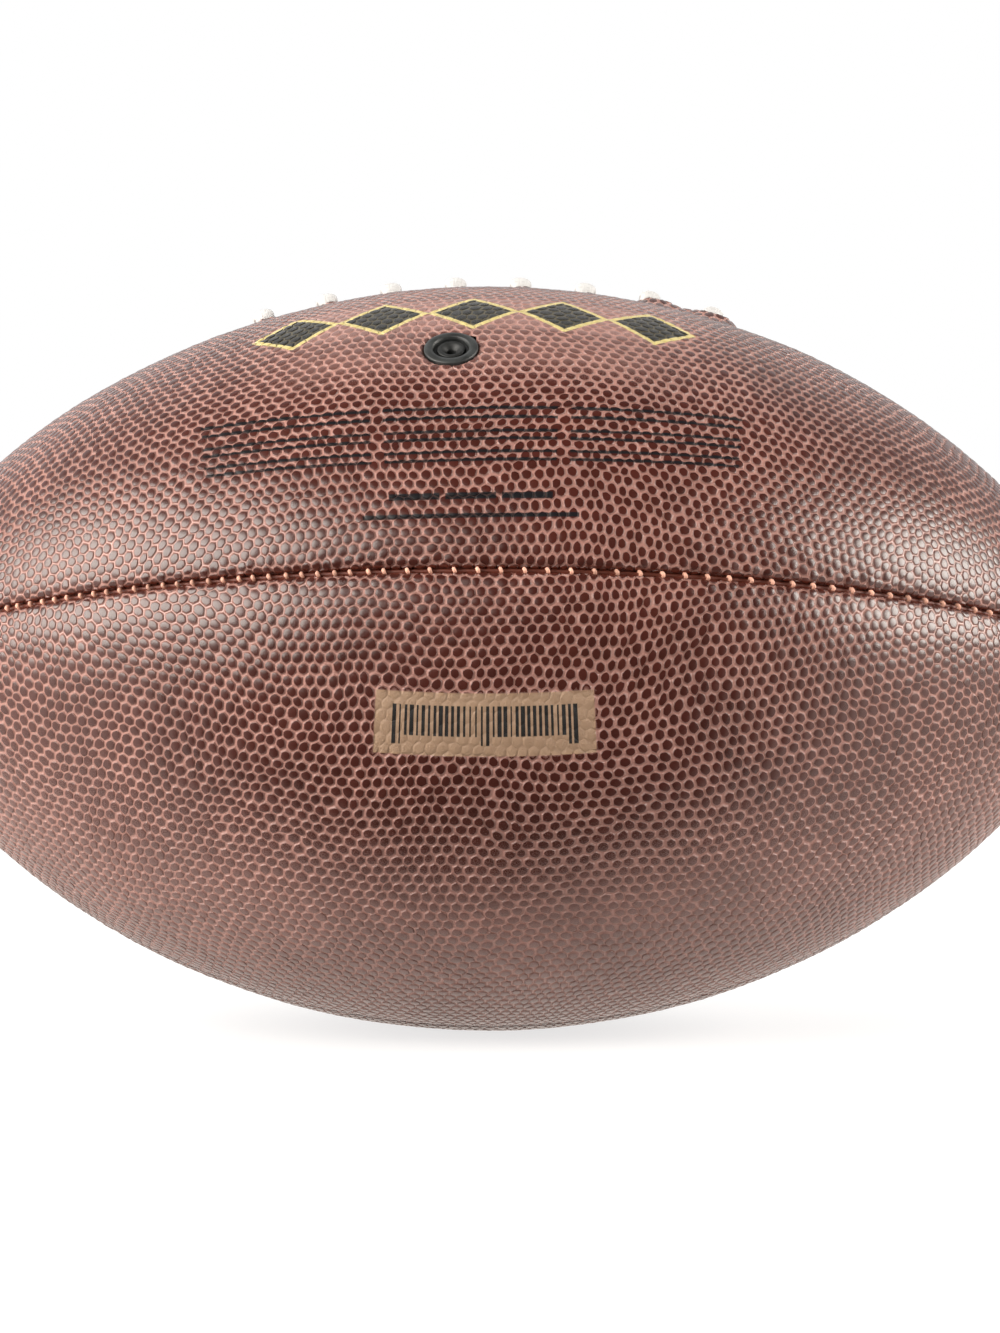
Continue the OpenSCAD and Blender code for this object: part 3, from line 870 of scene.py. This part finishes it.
def weave_group():
    """Plain weave: crossing ridges of two sets of threads, as a height, a mask of gaps and fuzz."""
    group, tree, given, result = new_group("weave", {"Thread size": 0.0006}, ["Height", "Gaps", "Fuzz"])
    scale = tree.math("DIVIDE", math.pi, given["Thread size"])
    u, v = (tree.times(axis, scale) for axis in tree.axes(given["Place"])[:2])
    warp, weft = (tree.math("ABSOLUTE", tree.math("SINE", axis)) for axis in (u, v))
    over = tree.ramp(tree.times(tree.math("COSINE", u), tree.math("COSINE", v)), -0.4, 0.4)
    height = tree.math("ADD", tree.times(warp, over), tree.times(weft, tree.less(1.0, over)))
    fuzz = tree.noise(given["Place"], 2600.0, 2.0)
    tree.fill(result, Height=height, Gaps=tree.ramp(height, 0.45, 0.1), Fuzz=fuzz)
    return group


def new_material(name):
    """A material with a tree that holds only its shader and its output."""
    material = bpy.data.materials.new(name)
    material.use_nodes = True
    tree = Tree(material.node_tree)
    tree.tree.nodes.clear()
    tree.shader = tree.add("BsdfPrincipled")
    tree.add("OutputMaterial", {0: tree.shader.outputs[0]})
    return material, tree


def rgb(colour, factor=1.0):
    """A colour for a node's socket, made lighter or darker by a factor."""
    return tuple(min(c * factor, 1.0) for c in colour) + (1.0,)


def box_mask(tree, u, v, middle, half):
    """One inside a rectangle of the sheet and zero outside, with a soft edge."""
    along = tree.less(tree.off(u, middle[0]), half[0])
    across = tree.less(tree.off(v, middle[1]), half[1])
    return tree.ramp(tree.most(along, across), PRINT_EDGE, -PRINT_EDGE)


def front_print(tree, u, v):
    """Ink and trim of the upper front panel: a band of lozenges, and plain rows of dashes below it."""
    half = BAND_HALF_LENGTH / LOZENGES
    along = tree.math("PINGPONG", tree.less(u, BAND_MIDDLE[0]), half)
    shape = tree.math(
        "ADD",
        tree.math("DIVIDE", along, half * 1.04),
        tree.math("DIVIDE", tree.off(v, BAND_MIDDLE[1]), BAND_HALF_HEIGHT * 1.04),
    )
    inside = box_mask(tree, u, v, BAND_MIDDLE, (BAND_HALF_LENGTH, BAND_HALF_HEIGHT))
    trim = tree.times(tree.ramp(shape, 1.0, 0.97), inside)
    ink = tree.times(tree.ramp(shape, 0.83, 0.80), inside)
    bow = tree.times(tree.math("POWER", tree.less(u, ROW_MIDDLE), 2.0), ROW_BOW)
    bowed = tree.less(v, bow)
    faint = 0.0
    for middle_v, apart, half_v, half_u, step, share in FRONT_ROWS:
        row = box_mask(tree, u, tree.off(bowed, middle_v), (ROW_MIDDLE, apart), (half_u, half_v))
        saw = tree.math("PINGPONG", tree.less(u, ROW_MIDDLE), step / 2)
        end = share * step / 2
        line = tree.times(row, tree.ramp(saw, end - PRINT_EDGE, end + PRINT_EDGE, 1.0, 0.0))
        faint = tree.most(faint, line)
    return ink, trim, faint


def label_print(tree, u, v):
    """Tan patch with a row of plain bars of random widths, longer at its ends and in its middle."""
    middle_u, middle_v = LABEL_MIDDLE
    patch = box_mask(tree, u, v, LABEL_MIDDLE, LABEL_HALF)
    steps = tree.math("DIVIDE", tree.less(u, middle_u), BAR_STEP)
    number = tree.math("FLOOR", steps)
    chance = tree.add("TexWhiteNoise", {"W": number}, noise_dimensions="1D").outputs["Value"]
    from_bar = tree.off(tree.math("FRACT", steps), 0.5)
    bars = tree.math("LESS_THAN", from_bar, tree.math("MULTIPLY_ADD", chance, 0.27, 0.12))
    away = tree.off(u, middle_u)
    at_ends = tree.math("GREATER_THAN", away, BAR_ROW - 2 * BAR_STEP)
    long_ones = tree.math("ADD", at_ends, tree.math("LESS_THAN", away, BAR_STEP))
    row, long_row = (
        box_mask(tree, u, v, (middle_u, middle_v + shift), (BAR_ROW, half))
        for shift, half in zip(BAR_SHIFT, BAR_HALF)
    )
    row = tree.most(row, tree.times(long_row, long_ones))
    return patch, tree.times(row, bars)


def leather_material(leather, name, printed=None):
    """Pebbled composite leather: dark, shinier pebble tops over paler, rougher valleys."""
    material, tree = new_material(name)
    grain = tree.grain(0.00028, 0.018)
    pebble, mottle = tree.stored("pebble"), grain["Mottle"]
    rough_edge = tree.math("MULTIPLY_ADD", grain["Height"], 0.3, tree.less(pebble, 0.15))
    top = tree.ramp(rough_edge, 0.50, 1.0)
    tops, valleys = leather.top_colour, leather.valley_colour
    top_colour = tree.mix(tree.stored("tone"), rgb(tops, 0.82), rgb(tops, 1.22))
    top_colour = tree.mix(tree.times(mottle, 0.35), top_colour, rgb(tops, 1.5))
    colour = tree.mix(top, tree.mix(mottle, rgb(valleys, 0.9), rgb(valleys, 1.12)), top_colour)
    # Painted shade: the leather darkens as it turns into a seam, where shade falls
    colour = tree.mix(tree.ramp(tree.stored("turned_in"), 0.35, 0.85), colour, rgb(leather.seam_shade_colour))
    roughness = tree.ramp(top, 0.0, 1.0, 0.31, 0.27, "LINEAR")
    specular = 0.63
    if printed:
        axes = tree.axes(tree.add("UVMap", uv_map="sheet").outputs[0])
        u, v = (tree.less(axes[i], SHEET_CORNER[i]) for i in (0, 1))
    if printed == "front":
        ink, trim, faint = front_print(tree, u, v)
        fading = tree.ramp(rough_edge, 0.0, 0.4, 0.85, 0.99)
        black, gold = leather.ink_colour, leather.trim_colour
        for mask, layer in ((faint, rgb(black, 1.5)), (trim, rgb(gold)), (ink, rgb(black))):
            colour = tree.mix(tree.times(mask, fading), colour, layer)
        dull = tree.most(ink, faint)
    if printed == "label":
        patch, dull = label_print(tree, u, v)
        tan = tree.mix(top, rgb(leather.label_colour, 0.86), rgb(leather.label_colour, 1.08))
        colour = tree.mix(tree.times(patch, 0.95), colour, tan)
        colour = tree.mix(tree.times(dull, 0.99), colour, rgb(leather.ink_colour))
        roughness = tree.most(roughness, tree.times(patch, 0.5))
    if printed:
        specular = tree.ramp(dull, 0.0, 1.0, specular, 0.28, "LINEAR")
    fine = tree.bump(grain["Height"], 0.04 * MM, 0.5)
    normal = tree.bump(tree.ramp(rough_edge, 0.18, 0.88), leather.relief, 1.0, fine)
    tree.fill(tree.shader, Base_Color=colour, Roughness=roughness, Normal=normal, Specular_IOR_Level=specular)
    return material


def thread_material(thread):
    """Waxed thread: copper-coloured stitches with a little sheen, over a cord darkened with painted shade, as it
    lies deep in the seam.
    """
    material, tree = new_material("waxed_thread")
    grain = tree.grain(0.00022, 0.006)
    colour = tree.mix(grain["Mottle"], rgb(thread, 0.7), rgb(thread, 1.25))
    # Painted shade: the cord is darker and redder than the stitches because it lies deep in the seam
    cord = rgb((thread[0], thread[1] * 0.45, thread[2] * 0.35), 0.22)
    tree.fill(
        tree.shader,
        Base_Color=tree.mix(tree.stored("raised"), cord, colour),
        Roughness=tree.ramp(grain["Height"], 0.2, 0.8, 0.38, 0.6),
        Normal=tree.bump(grain["Height"], 0.06 * MM, 0.7),
    )
    return material


def lace_material(white):
    """White coated lace with a fine woven texture under the coat."""
    material, tree = new_material("white_lace")
    sheet = tree.add("UVMap", uv_map="lace").outputs[0]
    weave = tree.group("weave", weave_group, Place=sheet, Thread_size=0.00062)
    grain = tree.grain(0.0005, 0.012)
    colour = tree.mix(weave["Gaps"], rgb(white), rgb(white, 0.86))
    fine = tree.bump(grain["Height"], 0.04 * MM, 0.4)
    tree.fill(
        tree.shader,
        Base_Color=tree.mix(tree.times(grain["Mottle"], 0.2), colour, rgb(white, 0.9)),
        Roughness=tree.ramp(weave["Fuzz"], 0.2, 0.8, 0.42, 0.58),
        Normal=tree.bump(weave["Height"], 0.10 * MM, 0.6, fine),
    )
    return material


def cloth_material(name, colour, thread_size):
    """Woven cloth, with paler thread crowns, darker gaps and fuzz."""
    material, tree = new_material(name)
    weave = tree.group("weave", weave_group, Place=tree.place(), Thread_size=thread_size)
    base = tree.mix(tree.grain(0.0006, 0.03)["Mottle"], rgb(colour, 0.88), rgb(colour, 1.08))
    tree.fill(
        tree.shader,
        Base_Color=tree.mix(weave["Gaps"], base, rgb(colour, 0.45)),
        Roughness=tree.ramp(weave["Fuzz"], 0.0, 1.0, 0.82, 0.9),
        Normal=tree.bump(weave["Height"], 0.15 * MM, 0.8),
    )
    return material


def rubber_material(name, colour, grain_size, roughness):
    """Moulded rubber: fine grain, dusty mottling and soft gloss."""
    material, tree = new_material(name)
    grain = tree.grain(grain_size, 0.004)
    tree.fill(
        tree.shader,
        Base_Color=tree.mix(grain["Mottle"], rgb(colour, 0.8), rgb(colour, 1.9)),
        Roughness=tree.ramp(grain["Height"], 0.2, 0.8, roughness - 0.06, roughness + 0.08),
        Normal=tree.bump(grain["Height"], 0.03 * MM, 0.6),
    )
    return material


# Operators


class FootballOperator:
    """What the operators share: their options and how they read the settings."""

    bl_options = {"REGISTER", "UNDO"}

    @staticmethod
    def given(context):
        """The settings, and the outline that they give."""
        return context.scene.football, Outline(context.scene.football.ball)


class FOOTBALL_OT_cover(FootballOperator, bpy.types.Operator):
    """Make the four pebbled panels with their prints"""

    bl_idname = "football.cover"
    bl_label = "Cover panels"

    def execute(self, context):
        settings, outline = self.given(context)
        plain = leather_material(settings.leather, "pebbled_leather")
        front = leather_material(settings.leather, "pebbled_leather_band", "front")
        label = leather_material(settings.leather, "pebbled_leather_label", "label")
        materials = {"top_front": front, "bottom_front": label}
        for number, (name, middle) in enumerate(PANELS.items()):
            seed = FIRST_SEED + SEED_STEP * number
            mesh = panel_mesh(settings, outline, name, math.radians(middle), seed)
            place_piece("cover_" + name, mesh, materials.get(name, plain), "panel_" + name)
        return {"FINISHED"}


class FOOTBALL_OT_seam_threads(FootballOperator, bpy.types.Operator):
    """Make the stitches and the cord of every seam"""

    bl_idname = "football.seam_threads"
    bl_label = "Seam threads"

    def execute(self, context):
        settings, outline = self.given(context)
        material = thread_material(settings.seam.thread_colour)
        limit = outline.end_s - TIP_STITCHES * settings.seam.pitch
        slit = strand_reach(settings.lace) + settings.seam.pitch
        runs = {name: (math.radians(turn), -limit, limit) for name, turn in SEAMS.items()}
        runs["top_left"] = (0.0, -limit, -slit)
        runs["top_right"] = (0.0, slit, limit)
        for name, run in runs.items():
            mesh = stitch_mesh(settings, outline, name, *run)
            place_piece("stitches_" + name, mesh, material, "seam_thread_" + name)
        return {"FINISHED"}


def stitch_places(seam, name, first, last):
    """Lengths along a seam at which its stitches lie: evenly spaced, and closer on one stretch."""
    if name != "front":
        count = int((last - first) / seam.pitch)
        return (np.arange(count) - (count - 1) / 2) * seam.pitch + (first + last) / 2
    wide = np.arange(TIGHT_END, last, seam.pitch)
    tight = np.arange(TIGHT_END - seam.pitch * TIGHT_SHARE, first, -seam.pitch * TIGHT_SHARE)
    return np.concatenate([tight[::-1], wide])


def stitch_mesh(settings, outline, name, turn, first, last):
    """Stitches of one seam: short thread arcs that cross it, over a cord that runs along it.

    The middle line of a stitch is half an ellipse that rises out of one panel, leans along the
    seam and goes down into the other. The cord lies below the stitches' ends and runs on to the
    ball's tips.
    """
    seam, ball = settings.seam, settings.ball

    def line(s, across, fade, lift):
        """Middle line at lengths s, across the seam and lifted from the stitches' ends."""
        base, normals, _ = surface(outline, s, turn + across / outline.at(s)[1])
        dent = seam.sag_depth * fade + lacing_dent(settings, s, across) * (1.0 if turn == 0.0 else 0.0)
        depth = STITCH_DEPTH + np.minimum(dent, DENT_LIMIT) - lift
        return laid(base - normals * depth[:, None], ball)

    t = np.linspace(0, math.pi, 7)
    sideways = np.tile([1.0, 0.0, 0.0], (len(t), 1))
    draw = np.random.default_rng(len(name) + int(abs(turn) * 100))
    tubes = []
    for place in stitch_places(seam, name, first, last):
        s = place + draw.normal(0.0, STITCH_STRAY) - np.cos(t) * STITCH_LEAN
        path = line(s, STITCH_ASIDE - np.cos(t) * STITCH_HALF, 1.0, STITCH_LIFT * np.sin(t))
        tubes.append(swept(path, sideways, seam.thread / 2, seam.thread / 2, 6, 2.0))
    stitched = sum(rings.shape[0] * rings.shape[1] + 2 for rings in tubes)
    tip = outline.end_s - CORD_END
    start, stop = (math.copysign(tip, end) if abs(end) > outline.half else end for end in (first, last))
    s = np.linspace(start, stop, max(int((stop - start) / CORD_STEP), 4))
    fade = unit(outline.at(s)[1] / TIP_RADIUS)
    path = line(s, np.zeros_like(s), fade, -CORD_DEPTH * fade)
    across = rolled(surface(outline, s, np.full_like(s, turn))[2], ball)
    tubes.append(swept(path, across, seam.gap / 2 + CORD_SQUEEZE, CORD_HALF, 8, 2.0))
    mesh = tubes_mesh("stitches_" + name, tubes)
    # One on the stitches and zero on the cord, which the material darkens with painted shade
    add_values(mesh, "raised", np.arange(len(mesh.vertices)) < stitched)
    return mesh


class FOOTBALL_OT_lacing(FootballOperator, bpy.types.Operator):
    """Make the lace with its bars and its lengthwise strand"""

    bl_idname = "football.lacing"
    bl_label = "Lacing"

    def execute(self, context):
        settings, outline = self.given(context)
        material = lace_material(settings.lace.colour)
        place_piece("lacing", lace_mesh(settings, outline), material, "lace")
        return {"FINISHED"}


def bar_path(settings, outline, place):
    """Middle line of a bar, its sideways directions, and one where it is highest to zero at its holes.

    The line is half a superellipse between two holes, carried straight down past them.
    """
    lace, half = settings.lace, settings.lace.span / 2
    origin, up, across = spot(outline, place, 0.0)
    sunk = float(lacing_dent(settings, np.array([place]), np.array([half]))[0])
    low, top = -sunk - half**2 / settings.ball.diameter, lace.top - lace.thickness / 2
    t = np.linspace(0, math.pi, 41)
    y = np.sign(np.cos(t)) * np.abs(np.cos(t)) ** (2 / BAR_POWER) * half
    z = low + np.abs(np.sin(t)) ** (2 / BAR_POWER) * (top - low)
    legs = low - np.linspace(lace.depth + sunk, LEG_TOP, 5)
    y = np.concatenate([np.full(5, half), y, np.full(5, -half)])
    z = np.concatenate([legs, z, legs[::-1]])
    path = origin - across * y[:, None] + up * z[:, None]
    return path, np.tile(np.cross(-across, up), (len(path), 1)), unit((z - low) / (top - low))


def lace_mesh(settings, outline):
    """The lace: bars arched over the strand, the strand, and the stretches on the inside.

    The strand follows the outline and dips under each bar, and its ends go down too.
    """
    lace = settings.lace
    width, thick, places = lace.width / 2, lace.thickness / 2, bar_places(lace)
    tubes = []
    for place in places:
        path, sideways, level = bar_path(settings, outline, place)
        wide, deep = width * (0.80 + 0.20 * level**0.5), thick * (1.25 - 0.25 * level**0.5)
        tubes.append(swept(path, sideways, wide, deep, 20, BAR_POWER))
    reach = strand_reach(lace)
    s = np.linspace(-reach, reach, 161)
    base, up, across = surface(outline, s, np.zeros_like(s))
    near = np.max([bump(s - place, lace.width * 0.75) for place in places], axis=0)
    bend = unit((reach - np.abs(s)) / STRAND_BEND)
    dip = (1 - np.sqrt(1 - (1 - bend) ** 2)) * (lace.depth + STRAND_PAST)
    mid = lace.top - lace.thickness * 1.5 - STRAND_GAP
    height = mid - STRAND_SAG * near + STRAND_RISE * (1 - near) - dip
    tubes.append(swept(base + up * height[:, None], across, width * 0.9, thick * 0.95, 20, 3.0))
    for i, ends in enumerate(zip(places[:-1], places[1:])):
        s = np.linspace(*ends, 12)
        arc = (1 if i % 2 == 0 else -1) * (lace.span / 2)
        base, up, across = surface(outline, s, arc / outline.at(s)[1])
        tubes.append(swept(base - up * lace.depth, across, lace.width * 0.36, lace.thickness * 0.3, 12, 3.0))
    maps = np.concatenate([tube_map(rings, lace.width) for rings in tubes])
    tubes = [laid(rings.reshape(-1, 3), settings.ball).reshape(rings.shape) for rings in tubes]
    mesh = tubes_mesh("lacing", tubes)
    add_map(mesh, "lace", maps)
    return mesh


def tube_map(rings, width):
    """Flat places of a tube's points: length along it, and length round it."""
    corners = rings.shape[1]
    steps = np.linalg.norm(np.diff(rings.mean(axis=1), axis=0), axis=1)
    along = np.concatenate([[0], np.cumsum(steps)])
    around = np.abs(np.arange(corners) / corners - 0.5) * 2 * width
    flat = np.stack(np.meshgrid(along, around, indexing="ij"), axis=-1).reshape(-1, 2)
    return np.concatenate([flat, [[0.0, 0.0], [along[-1], 0.0]]])


class FOOTBALL_OT_valve(FootballOperator, bpy.types.Operator):
    """Make the valve's ring, housing and plug"""

    bl_idname = "football.valve"
    bl_label = "Valve"

    def execute(self, context):
        settings, outline = self.given(context)
        looks = {"ring": (1.6, 0.0004, 0.46), "housing": (0.7, 0.0004, 0.6), "plug": (0.8, 0.0003, 0.55)}
        for part, profile in valve_profiles(settings.valve).items():
            shade, grain_size, roughness = looks[part]
            colour = rgb(settings.valve.colour, shade)[:3]
            material = rubber_material(part + "_rubber", colour, grain_size, roughness)
            points, faces = turned(profile, 64)
            mesh = mesh_of("valve_" + part, seated(settings, outline, points), [faces])
            place_piece("valve_" + part + "_moulding", mesh, material, "valve_" + part)
        return {"FINISHED"}


def rounded(corners, steps=5):
    """A closed profile from corners of (radius, height, rounding) in millimetres.

    Each corner becomes a parabola from a point on one side to a point on the other, both at its
    rounding from the corner, drawn through the corner's own pull.
    """
    corners = np.asarray(corners, float) * MM
    points, reach = corners[:, :2], corners[:, 2:]
    a, b = (points + sized(np.roll(points, step, axis=0) - points) * reach for step in (1, -1))
    t = np.linspace(0, 1, steps)[None, :, None]
    curve = a[:, None] * (1 - t) ** 2 + points[:, None] * 2 * t * (1 - t) + b[:, None] * t**2
    return curve.reshape(-1, 2)


def valve_profiles(valve):
    """Closed outlines (radius, height) of the three valve parts, with rounded edges."""
    sizes = (valve.ring, valve.ring_bore, valve.housing, valve.plug, valve.needle)
    ring, bore, outer, plug, needle = (size / 2 / MM for size in sizes)
    wall, inner = ring - bore, plug + 0.1
    return {
        "ring": rounded([
            (bore, -2.9, 0.2), (ring, -2.9, 0.2), (ring, -0.15, 0.30), (ring - wall * 0.45, 0.22, 0.45),
            (bore + wall * 0.12, 0.02, 0.18), (bore, -0.5, 0.1),
        ]),
        "housing": rounded([(inner, -20.5, 0.2), (outer, -22, 0.3), (outer, -0.9, 0.15), (inner, -1.1, 0.15)]),
        "plug": rounded([
            (needle * 0.85, -14.0, 0.1), (0.02, -14.3, 0.01), (0.02, -20.0, 0.01), (plug, -20.0, 0.3),
            (plug, -0.55, 0.22), (plug * 0.80, -0.35, 0.3), (needle * 1.5, -0.65, 0.25),
            (needle * 0.85, -1.5, 0.3),
        ]),
    }


def seated(settings, outline, points):
    """Carries points of the valve's own frame, with Z outwards, to the valve's place on the ball."""
    s, turn, origin = valve_centre(settings, outline)
    _, up, across = spot(outline, s, turn)
    along = np.cross(across, up)
    place = origin + points[:, :1] * along + points[:, 1:2] * across + points[:, 2:] * up
    return laid(place, settings.ball)


class FOOTBALL_OT_inner_parts(FootballOperator, bpy.types.Operator):
    """Finish the linings, facings, tongue and bladder"""

    bl_idname = "football.inner_parts"
    bl_label = "Inner parts"

    def execute(self, context):
        finishes = {
            "lining": cloth_material("cotton_lining", (0.60, 0.55, 0.45), 0.0009),
            "tongue": cloth_material("tongue_cloth", (0.07, 0.075, 0.08), 0.0007),
            "lace_facing": rubber_material("split_leather", (0.11, 0.065, 0.042), 0.0005, 0.7),
            "bladder": rubber_material("butyl_rubber", (0.022, 0.024, 0.027), 0.0006, 0.55),
        }
        for name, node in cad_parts.items():
            for start, finish in finishes.items():
                if name.startswith(start):
                    node.data.materials.clear()
                    node.data.materials.append(finish)
        return {"FINISHED"}


class FOOTBALL_OT_stage(FootballOperator, bpy.types.Operator):
    """Set the floor, the lamps and the camera"""

    bl_idname = "football.stage"
    bl_label = "Stage"

    def execute(self, context):
        stage = context.scene.football.stage
        middle = Vector((0.0, 0.0, context.scene.football.ball.diameter / 2))
        set_floor(stage)
        set_lamps(middle)
        set_world()
        set_camera(stage, middle)
        context.scene.view_settings.view_transform = "Standard"
        return {"FINISHED"}


def set_floor(stage):
    """A wide floor that the camera sees as white except where the ball's shadow falls.

    The ball mirrors it as a glow that is strong to the front and faint behind.
    """
    corners = np.array([[-1, -1, 0], [1, -1, 0], [1, 1, 0], [-1, 1, 0]], float) * FLOOR_HALF
    floor = linked("floor", mesh_of("floor", corners, [np.array([[0, 1, 2, 3]])]))
    material, tree = new_material("pale_floor")
    place = tree.place()
    seen = tree.add("LightPath").outputs
    camera, glossy = seen["Is Camera Ray"], seen["Is Glossy Ray"]
    lit = tree.mix(tree.noise(place, 40.0, 3.0), rgb(stage.floor_colour, 0.44), rgb(stage.floor_colour, 0.46))
    shown = tree.mix(glossy, rgb(stage.floor_colour, 0.35), (0.0, 0.0, 0.0, 1.0))
    from_middle = tree.add("VectorMath", {0: place, 1: (0.0, 0.0, -0.085)}, operation="ADD").outputs[0]
    heading = tree.add("VectorMath", {0: from_middle}, operation="NORMALIZE").outputs[0]
    mirrored = tree.times(glossy, tree.ramp(tree.axes(heading)[1], -0.82, -0.47, 0.03, 1.55))
    away = tree.add("VectorMath", {0: place}, operation="LENGTH").outputs["Value"]
    direct = tree.times(tree.most(camera, seen["Is Transmission Ray"]), tree.ramp(away, 0.25, 1.5, 0.74, 1.0))
    tree.fill(
        tree.shader,
        Base_Color=tree.mix(tree.most(camera, glossy), lit, shown),
        Roughness=0.9,
        Specular_IOR_Level=0.1,
        Emission_Strength=tree.math("ADD", direct, mirrored),
        Emission_Color=tree.mix(glossy, WHITE, MIRROR_COLOUR),
    )
    floor.data.materials.append(material)


def set_lamps(middle):
    """Two soft side lamps and a weak card in front, turned to the ball's middle."""
    for name, (place, size, power) in LAMPS.items():
        data = bpy.data.lights.new(name, "AREA")
        data.shape = "RECTANGLE"
        data.size, data.size_y = size
        data.energy = power
        data.color = LAMP_COLOUR
        lamp = linked(name, data)
        lamp.location = place
        lamp.rotation_euler = (middle - Vector(place)).to_track_quat("-Z", "Y").to_euler()


def set_world():
    """A surrounding that the camera sees as white, and that lights and mirrors more from behind."""
    world = bpy.data.worlds.new("studio")
    bpy.context.scene.world = world
    world.use_nodes = True
    tree = Tree(world.node_tree)
    tree.tree.nodes.clear()
    seen = tree.add("LightPath").outputs
    direct = tree.most(seen["Is Camera Ray"], seen["Is Transmission Ray"])
    axes = tree.axes(tree.add("TexCoord").outputs["Generated"])
    spread = tree.times(tree.ramp(axes[1], -0.90, -0.10, 0.05, 1.0), 0.80)
    mirrored = tree.times(tree.ramp(axes[1], -0.20, 0.95, 0.03, 1.0), 1.20)
    shade = tree.add("Mix", {0: seen["Is Glossy Ray"], 2: spread, 3: mirrored}, data_type="FLOAT").outputs[0]
    shade = tree.times(shade, tree.ramp(axes[0], -0.8, 0.8, 1.2, 0.7, "LINEAR"))
    soft, plain = (tree.add("Background", {"Color": WHITE, "Strength": power}) for power in (shade, 1.0))
    mixed = tree.add("MixShader", {0: direct, 1: soft.outputs[0], 2: plain.outputs[0]})
    tree.add("OutputWorld", {0: mixed.outputs[0]})


def set_camera(stage, middle):
    """The camera stands level with the ball's middle, moved so that the middle falls on its pixel."""
    data = bpy.data.cameras.new("camera")
    camera = linked("camera", data)
    bpy.context.scene.camera = camera
    data.sensor_fit = "AUTO"
    data.sensor_width = 36.0
    data.lens = stage.focal_pixels * data.sensor_width / PHOTO_HEIGHT
    data.clip_start, data.clip_end = 0.01, 100.0
    metres_a_pixel = stage.distance / stage.focal_pixels
    right = (PHOTO_WIDTH / 2 - stage.middle_x) * metres_a_pixel
    down = (PHOTO_HEIGHT / 2 - stage.middle_y) * metres_a_pixel
    c, s = math.cos(stage.azimuth), math.sin(stage.azimuth)
    back, side = Vector((s, -c, 0.0)), Vector((c, s, 0.0))
    camera.location = middle + back * stage.distance + side * right - Vector((0.0, 0.0, down))
    camera.rotation_euler = (-back).to_track_quat("-Z", "Y").to_euler()


class FOOTBALL_PT_panel(bpy.types.Panel):
    """Sidebar panel with the settings and the operators"""

    bl_label = "Football"
    bl_idname = "FOOTBALL_PT_panel"
    bl_space_type = "VIEW_3D"
    bl_region_type = "UI"
    bl_category = "Football"

    def draw(self, context):
        for operator in OPERATORS:
            self.layout.operator(operator.bl_idname)
        for group in FootballSettings.__annotations__:
            part = getattr(context.scene.football, group)
            box = self.layout.box()
            box.label(text=group.capitalize())
            for name in part.__annotations__:
                box.prop(part, name)


OPERATORS = (
    FOOTBALL_OT_cover,
    FOOTBALL_OT_seam_threads,
    FOOTBALL_OT_lacing,
    FOOTBALL_OT_valve,
    FOOTBALL_OT_inner_parts,
    FOOTBALL_OT_stage,
)
CLASSES = (
    BallSettings,
    LeatherSettings,
    SeamSettings,
    LaceSettings,
    ValveSettings,
    StageSettings,
    FootballSettings,
    *OPERATORS,
    FOOTBALL_PT_panel,
)


def register():
    """Registers the classes and the settings."""
    for cls in CLASSES:
        bpy.utils.register_class(cls)
    bpy.types.Scene.football = bpy.props.PointerProperty(type=FootballSettings)


def unregister():
    """Takes the settings and the classes away again."""
    del bpy.types.Scene.football
    for cls in reversed(CLASSES):
        bpy.utils.unregister_class(cls)


def main():
    """Builds every piece and the stage."""
    register()
    bpy.ops.football.cover()
    bpy.ops.football.seam_threads()
    bpy.ops.football.lacing()
    bpy.ops.football.valve()
    bpy.ops.football.inner_parts()
    bpy.ops.football.stage()


if __name__ == "__main__":
    main()
